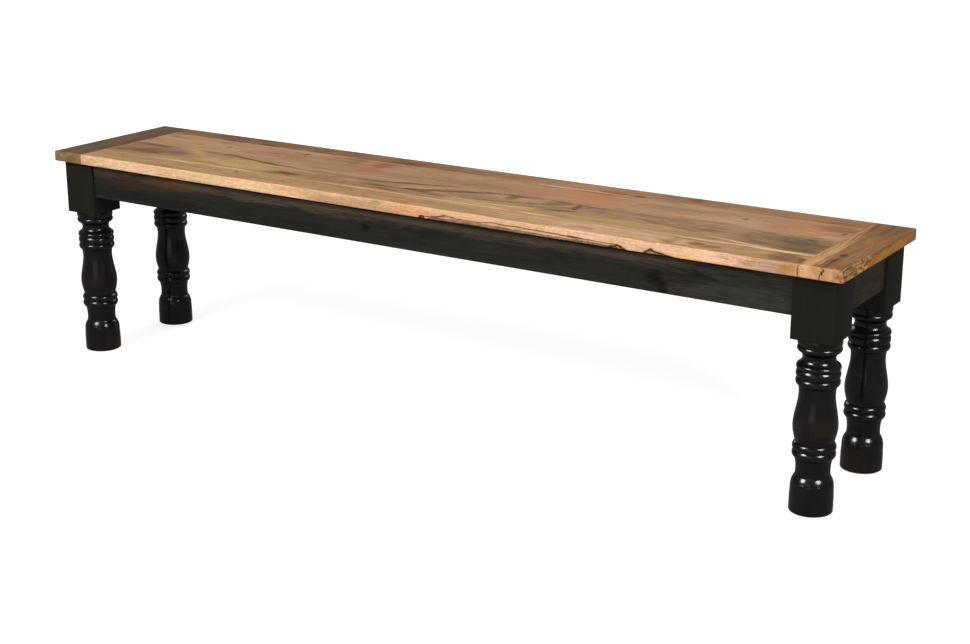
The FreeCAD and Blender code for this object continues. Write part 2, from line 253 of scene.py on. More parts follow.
# %% Floor
FLOOR_GREY = (0.4, 0.4, 0.4, 1)
FLOOR_GLOW, GLOW_NEAR, GLOW_FAR = 0.78, 1.0, 3.0
FLOOR_REACH = 14.0
FLOOR_DROP = 0.0005
floor_mesh = bpy.data.meshes.new("floor")
corners = [(FLOOR_REACH * x, FLOOR_REACH * y, -FLOOR_DROP) for x, y in ((-1, -1), (1, -1), (1, 1), (-1, 1))]
floor_mesh.from_pydata(corners, [], [(0, 1, 2, 3)])
floor = bpy.data.objects.new("floor", floor_mesh)
bpy.context.scene.collection.objects.link(floor)
floor_paint, tree, shader, spot = start_finish("floor_paint")
tree.nodes.remove(shader)
matte = put(tree, "ShaderNodeBsdfDiffuse", {"Color": FLOOR_GREY}).outputs[0]
from_bench = vector_calc(tree, "LENGTH", spot)
glow = spread(tree, from_bench, GLOW_NEAR, GLOW_FAR, FLOOR_GLOW, 1.0, smooth=True)
shine = put(tree, "ShaderNodeEmission", {"Strength": times(tree, glow, seen_directly(tree))}).outputs[0]
both = put(tree, "ShaderNodeAddShader", {0: matte, 1: shine}).outputs[0]
from_below = put(tree, "ShaderNodeNewGeometry").outputs["Backfacing"]
clear = put(tree, "ShaderNodeBsdfTransparent").outputs[0]
sides = put(tree, "ShaderNodeMixShader", {0: from_below, 1: both, 2: clear}).outputs[0]
feed(tree.nodes["Material Output"], {"Surface": sides})
floor_mesh.materials.append(floor_paint)
print("floor:", 2 * FLOOR_REACH, "m wide")

# %% [markdown]
# Wood is a solid pattern. Fibres run along a board, bands of growth lie beside each other, and pores are
# short dark dashes. One group makes all these masks from a place on the board in millimetres, with X
# along the grain. Every wooden finish of the bench then uses it with its own seed. A picture of wood could
# be wrapped round each board instead, but a pattern in space runs on over the arrises, as real wood does.

# %% Fibre group
LINE_SPACING = 6.5
LINE_WANDER = 75.0
SEED_SHIFT = (731.0, 397.0, 0.0)
MASKS = ("Clouds", "Bands", "Fibres", "Pores", "Drift", "Lines", "Fray")


def patches(tree, place, along, over, detail=2.0, rough=0.55, bend=0.0, output=0):
    """Noise whose features are about this many millimetres along the grain and across it."""
    stretched = vector_calc(tree, "MULTIPLY", place, (1 / along, 1 / over, 1 / over))
    feeds = {"Vector": stretched, "Scale": 1.0, "Detail": detail, "Roughness": rough, "Distortion": bend}
    return put(tree, "ShaderNodeTexNoise", feeds).outputs[output]


def fibre_masks(tree, place):
    """Masks of clouds, bands, fibres, pores, drift, growth lines and frayed edges at a place."""
    broad = patches(tree, place, 900, 24, 2.0, 0.5, 0.3)
    narrow = patches(tree, place, 380, 6.0, 3.0, 0.6, 0.2)
    bands = times(tree, broad, 0.5, times(tree, narrow, 0.5))
    fibres = patches(tree, place, 60, 1.2, 4.0, 0.66)
    dashes = spread(tree, patches(tree, place, 9, 0.6, 1.0), 0.58, 0.70)
    clusters = spread(tree, patches(tree, place, 160, 9), 0.35, 0.62)
    drift = patches(tree, place, 210, 44, 2.0, 0.5, 0.4)
    across = times(tree, patches(tree, place, 380, 42), LINE_WANDER, split(tree, place)[1])
    saw = calc(tree, "FRACT", calc(tree, "DIVIDE", across, LINE_SPACING))
    rise, fall = spread(tree, saw, 0.25, 0.9, smooth=True), spread(tree, saw, 0.9, 1.0, 1.0, 0.0)
    there = spread(tree, patches(tree, place, 240, 15), 0.42, 0.62)
    lines = times(tree, calc(tree, "MINIMUM", rise, fall), there)
    fine = patches(tree, place, 34, 2.0, 3.0, 0.6)
    fray = calc(tree, "SUBTRACT", times(tree, fine, 1.3, patches(tree, place, 130, 9)), 1.15)
    clouds = patches(tree, place, 85, 24, 3.0, 0.6, 0.5)
    return (spread(tree, clouds, 0.34, 0.66), spread(tree, bands, 0.36, 0.64),
            spread(tree, fibres, 0.32, 0.68), times(tree, dashes, clusters),
            spread(tree, drift, 0.34, 0.66), lines, fray)


wood_fibres, given, leave = start_group(
    "Wood fibres", "ShaderNodeTree",
    [("Vector", "NodeSocketVector", None), ("Seed", "NodeSocketFloat", 0.0)],
    [(label, "NodeSocketFloat") for label in MASKS])
place = vector_calc(wood_fibres, "MULTIPLY_ADD", given["Seed"], SEED_SHIFT, given["Vector"])
feed(leave, dict(zip(MASKS, fibre_masks(wood_fibres, place))))
print("group:", wood_fibres.name)

# %% [markdown]
# Boards differ by their marks: knots, stained zones, sapwood and dark lines of growth. All of these are
# soft ellipses, some thin and bent. One group gives the mask of a single mark, a second one the rings
# round a knot and a third one a single ring. The place that they read is warped first, and the distance
# is frayed along the fibres, so that no mark is a clean ellipse. Marks could be painted by hand, but these
# are placed by numbers, so each one can be compared with the real board and moved on its own.

# %% Mark groups
MARK_INPUTS = [("Vector", "NodeSocketVector", None), ("Centre", "NodeSocketVector", None),
               ("Half size", "NodeSocketVector", None), ("Turn", "NodeSocketFloat", 0.0),
               ("Bend", "NodeSocketFloat", 0.0), ("Fray", "NodeSocketFloat", 0.0)]


def mark_distance(tree, given):
    """Distance from a mark's centre, 1 at its edge, after its turn and bend."""
    offset = vector_calc(tree, "SUBTRACT", given["Vector"], given["Centre"])
    back = times(tree, given["Turn"], -1.0)
    turned = put(tree, "ShaderNodeVectorRotate", {"Vector": offset, "Angle": back}, rotation_type="Z_AXIS")
    x, y, z = split(tree, turned.outputs[0])
    rise = times(tree, times(tree, x, x), given["Bend"])
    flat = put(tree, "ShaderNodeCombineXYZ", {0: x, 1: calc(tree, "SUBTRACT", y, rise), 2: z}).outputs[0]
    away = vector_calc(tree, "LENGTH", vector_calc(tree, "DIVIDE", flat, given["Half size"]))
    return calc(tree, "ADD", away, given["Fray"])


def spot_mask(tree, given, away):
    """Mask of a whole mark with a soft edge."""
    inner = calc(tree, "SUBTRACT", 1.0, given["Soft"])
    outer = calc(tree, "ADD", 1.0, given["Soft"])
    return spread(tree, away, inner, outer, 1.0, 0.0, smooth=True)


def rings_mask(tree, given, away):
    """Mask of uneven rings that fade at the edge."""
    uneven = times(tree, patches(tree, given["Vector"], 70, 22), 0.35, away)
    wave = calc(tree, "PINGPONG", calc(tree, "DIVIDE", uneven, given["Spacing"]), 1.0)
    fade = spread(tree, away, 0.75, 1.1, 1.0, 0.0, smooth=True)
    return times(tree, spread(tree, wave, 0.55, 1.0, smooth=True), fade)


def arc_mask(tree, given, away):
    """Mask of a line along the edge."""
    off_line = calc(tree, "ABSOLUTE", calc(tree, "SUBTRACT", away, 1.0))
    return spread(tree, off_line, 0.0, given["Width"], 1.0, 0.0, smooth=True)


def mark_group(name, last_input, mask):
    """Group of one kind of mark, whose last input is its own."""
    inputs = MARK_INPUTS + [(last_input, "NodeSocketFloat", 0.0)]
    group, given, leave = start_group(name, "ShaderNodeTree", inputs, [("Mask", "NodeSocketFloat")])
    feed(leave, {"Mask": mask(group, given, mark_distance(group, given))})
    return group


# By the word that sets a mark's own input: the group and how much its edge frays
MARK_KINDS = {
    "soft": (mark_group("Wood mark", "Soft", spot_mask), 1.7),
    "spacing": (mark_group("Wood rings", "Spacing", rings_mask), 0.35),
    "width": (mark_group("Wood arc", "Width", arc_mask), 0.35),
}
print("groups:", ", ".join(group.name for group, fray in MARK_KINDS.values()))

# %% [markdown]
# A board's finish starts with the place in millimetres, turned so that X follows its grain. A slow warp
# makes all lines waver. Bands and drift mix a light and a dark tone, the marks are laid over them one
# by one, and fibres and pores go on last. The oil leaves a satin sheen that varies with the fibres.

# %% Board finish
WARP = (26.0, 7.0, 7.0)
PORE_TONE = tone("4a3524")
PINK_CAST = (1.08, 0.99, 1.00, 1.0)
OLIVE_CAST = (0.93, 0.98, 0.92, 1.0)
CALMED, CALM_LEVEL = 0.55, 0.93
USUAL_MUCH, USUAL_SOFT = 0.8, 0.5


def board_place(tree, spot, grain_turn):
    """Place on the board in millimetres with X along its grain, warped."""
    plain = put(tree, "ShaderNodeMapping", {"Vector": spot, "Scale": (1000, 1000, 1000),
                                            "Rotation": (0, 0, math.radians(grain_turn))}).outputs[0]
    waver = patches(tree, plain, 110, 30, output=1)
    centred = vector_calc(tree, "SUBTRACT", waver, (0.5, 0.5, 0.5))
    return vector_calc(tree, "MULTIPLY_ADD", centred, WARP, plain)


def lay_mark(tree, colour, place, fray, mark):
    """Lay one mark over a colour and return the new colour."""
    word = next((word for word in ("spacing", "width") if word in mark), "soft")
    group, usual_fray = MARK_KINDS[word]
    mask = put(tree, "ShaderNodeGroup", {
        "Vector": place, "Centre": mark["at"], "Half size": mark["half"],
        "Turn": math.radians(mark.get("turn", 0)), "Bend": mark.get("bend", 0) / 1000,
        "Fray": times(tree, fray, mark.get("fray", usual_fray)),
        word.capitalize(): mark.get(word, USUAL_SOFT)}, node_tree=group).outputs["Mask"]
    return blend(tree, times(tree, mask, mark["much"]), colour, tone(mark["tone"]))


def board_finish(name, light, dark, marks, seed, grain_turn=0, rough=(0.40, 0.55), contrast=0.30,
                 film=0.07, film_rough=0.4, pore=PORE_TONE, over=None, calm=None):
    """Wood of one board with its own tones and marks under a thin film of oil; returns the material."""
    finish, tree, shader, spot = start_finish(name)
    place = board_place(tree, spot, grain_turn)
    grain = put(tree, "ShaderNodeGroup", {"Vector": place, "Seed": seed}, node_tree=wood_fibres).outputs
    fibres, pores = grain["Fibres"], grain["Pores"]
    share = times(tree, grain["Bands"], 0.5, times(tree, grain["Drift"], 0.5))
    colour = blend(tree, share, tone(dark), tone(light))
    for mark in marks:
        colour = lay_mark(tree, colour, place, grain["Fray"], mark)
    colour = blend(tree, 1.0, colour, blend(tree, grain["Clouds"], PINK_CAST, OLIVE_CAST), "MULTIPLY")
    if over:
        colour = over(tree, colour, place, grain["Fray"])
    shade = times(tree, fibres, 2 * contrast, times(tree, grain["Lines"], -0.9 * contrast, 1 - contrast))
    if calm:
        kept = times(tree, calm(tree), -CALMED, 1.0)
        shade = times(tree, calc(tree, "SUBTRACT", shade, CALM_LEVEL), kept, CALM_LEVEL)
    colour = blend(tree, 1.0, colour, shade, "MULTIPLY")
    height = calc(tree, "SUBTRACT", times(tree, fibres, 0.35), pores)
    bump = put(tree, "ShaderNodeBump", {"Strength": 0.25, "Distance": 0.0004, "Height": height})
    feed(shader, {"Base Color": blend(tree, times(tree, pores, 0.5), colour, pore), "Normal": bump.outputs[0],
                  "Roughness": spread(tree, fibres, 0.0, 1.0, rough[1], rough[0]),
                  "Coat Weight": spread(tree, fibres, 0.0, 1.0, 0.6 * film, 1.4 * film),
                  "Coat Roughness": film_rough, "Specular IOR Level": 0.0})
    return finish


print("board finish ready, warp", WARP, "mm")

# %% [markdown]
# A mark has a place, half sizes, a tone and how much it covers, and some have a turn, a bend or a frayed
# edge. These helpers set marks on a face of the bench, by millimetres on the bench. The end boards lie
# across the planks, so their grain runs along Y and the pattern is turned by a quarter: in their own place
# X is the bench's Y, and Y is the bench's X with its sign changed. Marks on a side reach only a few
# millimetres in, so that they belong to the side and just tint the rounded arris.

# %% Places of marks
TOP, FRONT, RIGHT_SIDE, APRON_FACE = 457, -176, 915.5, -154
THROUGH, EDGE_DEPTH, STAIN_DEPTH = 60, 4.0, 40


def mark(at, half, colour, much=USUAL_MUCH, **more):
    """One mark as a dictionary."""
    return {"at": at, "half": half, "tone": colour, "much": much, **more}


def on_top(x, y, half_x, half_y, *look, **more):
    """Mark on the upper face of a plank."""
    return mark((x, y, TOP), (half_x, half_y, THROUGH), *look, **more)


def on_front(x, z, half_x, half_z, *look, **more):
    """Mark on the front edge of the front plank."""
    return mark((x, FRONT, z), (half_x, EDGE_DEPTH, half_z), *look, **more)


def on_end(y, x, half_y, half_x, *look, **more):
    """Mark on the upper face of an end board."""
    return mark((y, -x, TOP), (half_y, half_x, THROUGH), *look, **more)


def on_end_front(x, z, half_x, half_z, *look, **more):
    """Mark on the front end of an end board."""
    return mark((FRONT, -x, z), (EDGE_DEPTH, half_x, half_z), *look, **more)


def on_end_side(y, z, half_y, half_z, *look, **more):
    """Mark on the outer side of the right end board."""
    return mark((y, -RIGHT_SIDE, z), (half_y, EDGE_DEPTH, half_z), *look, **more)


def on_apron(x, z, half_x, half_z, *look, **more):
    """Mark on the front apron."""
    return mark((x, APRON_FACE, z), (half_x, STAIN_DEPTH, half_z), *look, **more)


print("a mark:", on_top(0, 0, 10, 5, "6b4226"))

# %% [markdown]
# The two rear planks. The rear one is darker at the left and has purple and rust zones, and a dark line
# along its rear arris is painted shade, where the rounded arris faces away from the lamps. The next one is
# pale pinkish tan with pin knots, a salmon stain left of the middle and orange zones at the right.

# %% Rear plank marks
rear_marks = [
    on_top(-640, 150, 240, 60, "7a5b44", 0.85, soft=0.3),
    on_top(-230, 150, 215, 60, "8a674b", soft=0.3),
    on_top(-790, 148, 50, 24, "8d6340", 0.7),
    on_top(-678, 150, 46, 22, "70504a", 0.7),
    on_top(-662, 126, 36, 6, "573c28"),
    on_top(-552, 125, 18, 8, "523622"),
    on_top(-515, 150, 42, 24, "7d6240", 0.6),
    on_top(-420, 145, 30, 20, "6c5b3a", 0.6),
    on_top(-345, 148, 26, 20, "85604f", 0.6),
    on_top(-180, 136, 46, 16, "6f4a2e"),
    on_top(-20, 135, 40, 10, "8f6a3e", 0.5),
    on_top(70, 148, 60, 18, "8f6b47", 0.5),
    on_top(250, 140, 60, 26, "b58d6c", 0.5),
    on_top(320, 128, 30, 9, "98633c", 0.7),
    on_top(376, 127, 13, 6, "5a4126"),
    on_top(440, 148, 40, 22, "8d6f58", 0.5),
    on_top(490, 155, 14, 18, "6b5238", 0.7),
    on_top(660, 150, 150, 26, "9b7754", 0.6),
    on_top(805, 130, 40, 18, "8a5f40", 0.7),
    # Painted shade: a dark line along the rear arris, which faces away from the lamps.
    on_top(0, 177, 1000, 4, "57432f", fray=0.6),
]
rear_centre_marks = [
    on_top(-740, 60, 90, 50, "b8936c", 0.5),
    on_top(-668, 22, 66, 12, "b5965f", 0.7, turn=-35),
    on_top(-530, 92, 44, 20, "b88d74", 0.7),
    on_top(-470, 60, 60, 30, "9b7656", 0.5),
    on_top(-310, 60, 85, 60, "a07b5c", 0.5),
    on_top(-330, 92, 30, 20, "966c4a", 0.6),
    on_top(-285, 92, 16, 34, "80654a", 0.6, turn=18, soft=0.7),
    on_top(-225, 58, 38, 52, "ab735a", 0.75, soft=0.6),
    on_top(-212, 90, 20, 18, "895b41", 0.7, soft=0.6),
    on_top(-75, 102, 26, 18, "a98850", 0.55, soft=0.7),
    on_top(-100, 60, 34, 24, "9d805a", 0.4),
    on_top(60, 40, 70, 24, "9a7656", 0.55),
    on_top(36, 33, 14, 9, "966445", 0.5),
    on_top(175, 45, 34, 26, "a97c61", 0.5),
    on_top(60, 112, 50, 8, "b98a5c", 0.6),
    on_top(310, 66, 66, 42, "b67f57", 0.75, soft=0.7),
    on_top(298, 108, 40, 6, "8d5b33", 0.75),
    on_top(178, 104, 16, 6, "99674a", 0.6),
    on_top(235, 117, 74, 4.2, "e0b592", 0.9, fray=0.9),
    on_top(470, 61, 60, 17, "97765a", 0.6),
    on_top(470, 61, 90, 34, "84664a", 0.35, spacing=0.3, fray=0.7),
    on_top(625, 35, 72, 30, "b99478", 0.65),
    on_top(595, 10, 40, 12, "8d6d55", 0.6),
    on_top(700, 46, 22, 12, "99704f", 0.5),
    on_top(762, 52, 42, 42, "ba855f", soft=0.6),
    on_top(805, 92, 36, 26, "966745", soft=0.6),
    on_top(811, 26, 36, 3.2, "cfa47a", 0.6, turn=27),
    on_top(-255, 4, 92, 6, "80603f", 0.7),
    on_top(-424, 93, 8, 7, "6b4226", 0.85),
    on_top(-614, 62, 6, 5, "7d5a3d", 0.7),
    on_top(-692, 55, 8, 7, "8a6a42", 0.6),
    on_top(-805, 93, 16, 5, "8a6244", 0.6, turn=-25),
    on_top(-650, 92, 9, 7, "8f6d4e", 0.6),
    on_top(625, 70, 5, 6, "694a2f"),
    on_top(824, 60, 4, 9, "6a4a30", 0.7),
]
print("rear planks:", len(rear_marks), "and", len(rear_centre_marks), "marks")

# %% [markdown]
# The front centre plank has the boldest figure: long dark lines that rise to both sides of the middle,
# rings round an eye, olive sapwood along its front edge and a dark oval near the right end. The front
# plank is plain golden tan, with two small knots and a purple zone at the right.

# %% Front plank marks
front_centre_marks = [
    on_top(-760, -45, 88, 52, "8f6e52", 0.75),
    on_top(-745, -62, 56, 18, "755638", 0.85),
    on_top(-812, -80, 22, 8, "754e30"),
    on_top(-795, -102, 40, 8, "916340", 0.75),
    on_top(-720, -35, 30, 16, "84675c", 0.5),
    on_top(-668, -47, 28, 22, "86645a"),
    on_top(-765, -7, 68, 7, "6b5132", 0.9),
    on_top(-650, -4, 62, 13, "b59764", turn=-35),
    on_top(-470, -60, 115, 34, "ba9d6a"),
    on_top(-610, -88, 85, 15, "ad925a"),
    on_top(-560, -88, 34, 9, "977d45", 0.6),
    on_top(-215, -80, 118, 20, "98774c"),
    on_top(-350, -92, 40, 9, "7f643c", 0.7),
    on_top(140, -85, 105, 15, "c8a878", 0.85),
    on_top(370, -82, 90, 18, "b0925a", 0.9),
    on_top(490, -80, 100, 18, "b39464"),
    on_top(390, -34, 105, 27, "9c7c63", 0.7),
    on_top(-600, -4, 34, 4, "7f6340", 0.7),
    on_top(-470, -16, 96, 4.5, "654a28", 0.9, turn=-9),
    on_top(-410, -28, 40, 4, "6d5132"),
    on_top(-265, -34, 125, 4, "80603f", 0.6, bend=0.12),
    on_top(-60, -19, 115, 5, "73543a", 0.9, turn=13, bend=0.15),
    on_top(-345, -78, 32, 8, "5a421f", 0.9),
    on_top(-118, -66, 44, 5.5, "63492f", 0.9),
    on_top(-36, -60, 15, 8, "5d4324", 0.9),
    on_top(-88, -88, 30, 8, "705943"),
    on_top(-185, -58, 34, 7, "bd9a86", 0.6),
    on_top(0, -36, 74, 7, "bf9f84", 0.75, turn=14),
    on_top(140, -31, 150, 29, "6f5038", 0.75, turn=11, width=0.17),
    on_top(160, -34, 175, 42, "70543c", 0.55, turn=9, width=0.1),
    on_top(64, -28, 80, 5.5, "6c4e36", 0.9, turn=21, bend=0.2),
    on_top(185, -14, 36, 18, "a98c70", 0.5),
    on_top(172, -14, 13, 16, "6d5038"),
    on_top(186, 3, 34, 6, "72543e"),
    on_top(268, -14, 18, 24, "866448", 0.75, soft=0.7),
    on_top(320, -22, 6, 20, "5f4731", 0.8, turn=14, soft=0.7),
    on_top(300, -60, 30, 6, "75543a", turn=20),
    on_top(370, -20, 12, 22, "8b6b54", 0.5, turn=20, soft=0.7),
    on_top(486, -40, 30, 4.5, "72543d", 0.75, turn=-14),
    on_top(470, -5, 60, 8, "8d6d54", 0.6),
    on_top(545, -30, 44, 30, "7a5d47", 0.6, spacing=0.3, fray=0.6),
    on_top(570, -60, 30, 6, "846753", 0.7, turn=-12),
    on_top(605, -40, 24, 22, "8c6b56", 0.75, soft=0.7),
    on_top(755, -48, 82, 46, "8d6f52", 0.8, soft=0.4),
    on_top(794, -50, 40, 42, "6f5b42", 0.9, soft=0.7),
    on_top(733, -20, 36, 14, "7d654a", 0.65),
    on_top(806, -79, 34, 13, "6a563d", 0.7, soft=0.7),
    on_top(750, -41, 72, 42, "64503a", 0.45, turn=-14, width=0.15, fray=0.7),
    on_top(758, -41, 54, 32, "a08468", 0.4, turn=-14, width=0.12, fray=0.7),
    on_top(778, -30, 30, 18, "57452f", 0.4, turn=-14, width=0.22, fray=0.7),
    on_top(800, -60, 110, 60, "5d4833", 0.45, turn=-25, spacing=0.14, fray=0.8),
    on_top(706, -97, 80, 4.6, "dcb588", 0.9, turn=-11, bend=0.3, fray=0.9),
]
front_marks = [
    on_top(-600, -107, 80, 5.5, "d8bd88", 0.95, fray=0.8),
    on_top(-462, -107, 66, 5, "e0c294", 0.95, fray=0.7),
    on_top(-165, -106.5, 84, 5, "dcb88c", 0.95, fray=0.7),
    on_top(-60, -105, 36, 6, "deb48e", 0.9, fray=0.9),
    on_top(130, -107, 115, 5, "d2b184", 0.8, fray=0.9),
    on_top(275, -107, 40, 6, "d6bb82", 0.85, fray=0.9),
    on_top(640, -109, 70, 5, "dbb785", 0.85, fray=0.9),
    on_top(765, -110, 62, 5.5, "e4bf92", 0.9, bend=0.25, fray=0.9),
    on_top(-420, -145, 430, 40, "ab895f", 0.55),
    on_top(-150, -138, 130, 28, "a3805a", 0.55),
    on_top(-84, -140, 34, 34, "b58768", 0.5, soft=0.8),
    on_top(-590, -165, 80, 8, "a3744a", 0.6),
    on_top(-760, -124, 9, 3, "8f6c48", 0.7, turn=-35),
    on_top(-436, -124, 10, 3.5, "84644a", 0.75, turn=-50),
    on_top(-300, -140, 8, 3, "8f6c48", 0.6, turn=-40),
    on_top(-140, -126, 11, 3.5, "87663f", 0.7, turn=-45),
    on_top(-86, -152, 9, 3, "8a6a48", 0.7, turn=-40),
    on_top(225, -150, 10, 3, "8f6f4a", 0.6, turn=-45),
    on_top(10, -160, 26, 12, "a57c45", 0.65),
    on_top(90, -142, 70, 18, "a07e55", 0.55),
    on_top(450, -145, 190, 32, "d0a984", 0.75),
    on_top(583, -150, 10, 22, "9c8050", 0.6),
    on_top(628, -142, 15, 9, "7b5432", 0.85),
    on_top(662, -145, 15, 8, "86603f"),
    on_top(722, -134, 44, 5, "96704c", 0.7),
    on_top(795, -146, 40, 26, "84604a", 0.85),
    on_top(800, -128, 26, 10, "76543c", 0.6),
    on_top(828, -150, 8, 20, "6b4a34", 0.7),
]
print("front planks:", len(front_centre_marks), "and", len(front_marks), "marks")

# %% [markdown]
# The bench's front edge is brighter wood than its upper face: peach and cream, with a darker, greyer
# stretch left of the middle, an orange one at the middle and brown at both ends.

# %% Front edge marks
front_edge_marks = [
    on_front(0, 446, 1000, 40, "d3a886", 0.95, soft=0.3),
    on_front(-700, 446, 160, 16, "dab692", 0.9, soft=0.3),
    on_front(-815, 440, 26, 5, "cf9a72", 0.6),
    on_front(-560, 448, 80, 8, "d9b88c", 0.5),
    on_front(-440, 447, 110, 10, "d0b28c", 0.7),
    on_front(-330, 449, 80, 11, "e0bb90", 0.7),
    on_front(-215, 452, 60, 6, "c59e70", 0.65),
    on_front(-240, 441, 60, 5, "d6b98c", 0.5),
    on_front(-110, 441, 100, 7, "b08a66", 0.75),
    on_front(-70, 451, 70, 6, "c49c72", 0.6),
    on_front(-44, 451, 12, 6, "98804c", 0.65),
    on_front(-30, 440, 45, 5, "a98d72", 0.5),
    on_front(42, 445, 58, 10, "d08e64", 0.65),
    on_front(190, 453, 150, 7, "d6a884", 0.75),
    on_front(480, 450, 260, 11, "ddb494", 0.85),
    on_front(675, 447, 48, 11, "eac4a2", 0.8),
    on_front(625, 439, 26, 4, "d9a763", 0.6),
    on_front(772, 446, 30, 9, "b79d88", 0.75),
    on_front(815, 446, 17, 12, "b98148", 0.75),
    on_front(808, 450, 12, 4, "96672f", 0.7),
    on_front(832, 446, 2, 14, "70451f", 0.8, fray=0.1),
]
print("front edge:", len(front_edge_marks), "marks")

# %% [markdown]
# The left end board is dark grey-brown. The right one is mid brown with a stripe of sapwood at the joint,
# a few dark splits, and a golden orange side.

# %% End board marks
left_end_marks = [
    on_end(140, -875, 46, 60, "675a40", 0.85),
    on_end(85, -880, 34, 30, "6e5148", 0.7),
    on_end(30, -850, 30, 16, "75493a", 0.65),
    on_end(-30, -880, 34, 30, "6a5549", 0.7),
    on_end(-70, -878, 28, 26, "5f503a", 0.75),
    on_end(-105, -902, 30, 14, "5f5a58", 0.5),
    on_end(-160, -875, 30, 60, "70542f"),
    on_end(0, -842, 170, 7, "70502f", 0.75),
    on_end_front(-875, 446, 60, 40, "8a7150", 0.9),
    on_end_front(-895, 440, 26, 6, "705b4e", 0.75),
    on_end_front(-862, 440, 14, 16, "694e33", 0.75),
]
right_end_marks = [
    on_end(-75, 847, 120, 12, "c79a6c", 0.9),
    on_end(90, 840, 95, 5, "bb8c64"),
    on_end(142, 851, 28, 7, "7a5536", 0.75),
    on_end(128, 876, 42, 5, "74502f"),
    on_end(40, 885, 60, 14, "96693f", 0.5),
    on_end(-78, 875, 10, 4, "4f3420", 0.85),
    on_end(-117, 875, 17, 4, "573922", 0.85),
    on_end(-155, 877, 20, 4, "70492b"),
    on_end(-60, 893, 80, 6, "a67b4e", 0.6),
    on_end(60, 906, 120, 5, "86694f", 0.6),
    on_end_front(875, 446, 60, 40, "c3936a", 0.95),
    on_end_front(846, 446, 8, 14, "d6a882", 0.7),
    on_end_front(879, 452, 2.2, 3.8, "45230f", 0.95, fray=0.6),
    on_end_front(875.5, 447.5, 2.4, 3.8, "3d1e0d", 0.95, fray=0.6),
    on_end_front(872.5, 441, 1.2, 5, "5a3118", 0.9, fray=0.6),
    on_end_front(885, 446, 36, 30, "93673a", 0.5, spacing=0.22),
    on_end_side(0, 446, 220, 40, "96642e", 0.9, soft=0.3),
    on_end_side(0, 456, 130, 2.6, "6f4d32", 0.75),
    on_end_side(30, 449, 24, 5, "ab7350", 0.7),
    on_end_side(-8, 441, 26, 4, "a87842", 0.7),
    on_end_side(62, 453, 34, 2.4, "6b4628", 0.75),
    on_end_side(90, 447, 70, 9, "b27a3c", 0.6),
    on_end_side(165, 446, 16, 30, "7d6a52", 0.7),
]
print("end boards:", len(left_end_marks), "and", len(right_end_marks), "marks")

# %% [markdown]
# Each board is rebuilt with the size of its solid: the bench's outer arrises are rounded by 2 mm as in
# the solid, and the arrises at the glue joints are just broken, which draws a fine line between boards.
# A Bevel modifier would treat all arrises alike, so a bmesh is used, where each edge can be picked by its
# faces. A face is at a joint if it isn't on the outside of the bench.

# %% Box shapes
def add_box(shape, size, middle=(0, 0, 0)):
    """Add a box to a bmesh."""
    points = bmesh.ops.create_cube(shape, size=1.0)["verts"]
    bmesh.ops.scale(shape, vec=size, verts=points)
    bmesh.ops.translate(shape, vec=middle, verts=points)


def round_edges(shape, edges, radius, segments):
    """Round some edges of a bmesh, or break them with one segment."""
    if edges:
        bmesh.ops.bevel(shape, geom=edges, offset=radius, segments=segments, profile=0.5, affect="EDGES")


def as_mesh(shape, name):
    """Mesh of a bmesh, which is used up."""
    mesh = bpy.data.meshes.new(name)
    shape.to_mesh(mesh)
    shape.free()
    return mesh


print("helpers:", ", ".join(helper.__name__ for helper in (add_box, round_edges, as_mesh)))

# %% Board shape
ARRIS_ROUND = 2.0 * MM
JOINT_BREAK = 0.4 * MM


def on_outside(face):
    """True if a board's face lies on the outside of the bench."""
    middle = face.calc_center_median()
    near = [abs(middle[axis] - side[axis]) < 1e-5 for axis in (0, 1) for side in (cad_low, cad_high)]
    return any(near) or abs(face.normal.z) > 0.9


def board_shape(node):
    """Box of a board's solid with its arrises rounded, as a bmesh."""
    low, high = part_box(node)
    board = bmesh.new()
    add_box(board, high - low, (low + high) / 2)
    board.normal_update()
    joints = [face.normal.copy() for face in board.faces if not on_outside(face)]
    outer = [edge for edge in board.edges if all(on_outside(face) for face in edge.link_faces)]
    round_edges(board, outer, ARRIS_ROUND, 4)
    board.normal_update()
    faces = [face for face in board.faces if any(face.normal.dot(normal) > 0.999 for normal in joints)]
    rims = [edge for edge in board.edges if sum(face in faces for face in edge.link_faces) == 1]
    round_edges(board, rims, JOINT_BREAK, 1)
    return board


print("arrises:", ARRIS_ROUND / MM, "mm outside,", JOINT_BREAK / MM, "mm at the joints")

# %% Boards
SHARP_ANGLE = math.radians(32)


def finish_piece(mesh, name, material, slot, *nodes):
    """Make an object of a mesh, give it its finish, and let it stand for CAD nodes."""
    mesh.name = name
    mesh.shade_smooth()
    mesh.set_sharp_from_angle(angle=SHARP_ANGLE)
    mesh.materials.clear()
    mesh.materials.append(material)
    piece = bpy.data.objects.new(name, mesh)
    bpy.context.scene.collection.objects.link(piece)
    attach(piece, "root")
    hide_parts(*nodes)
    return piece


# Node, light and dark tone, marks, and turn of the grain
BOARDS = {
    "rear": ("top_plank_rear", "b48d69", "967250", rear_marks, 0),
    "rear_centre": ("top_plank_rear_centre", "bb9775", "9c795a", rear_centre_marks, 0),
    "front_centre": ("top_plank_front_centre", "b59373", "927256", front_centre_marks, 0),
    "left_end": ("end_board_left", "735f50", "58483c", left_end_marks, -90),
}
for seed, (name, (node, light, dark, marks, turn)) in enumerate(BOARDS.items(), start=1):
    material = board_finish("oiled_" + name, light, dark, marks, seed, turn)
    finish_piece(as_mesh(board_shape(node), name), "board_" + name, material, "top_wood", node)
print("boards:", ", ".join(BOARDS))

# %% [markdown]
# The front plank was cut close to the outside of the tree. Right of the middle, two wavy cracks run along
# the lower half of its front face, the wood below them is rough and grey, and small chips have broken
# out of the lower arris. Bump alone would leave that arris straight, so the hollows are real: the face is
# cut into fine strips, and points below the upper crack are pushed in. Each point also remembers its height
# over the cracks and the chips, so that the finish can draw them sharply.

# %% Cracks and chips
FAR_OVER = 30.0
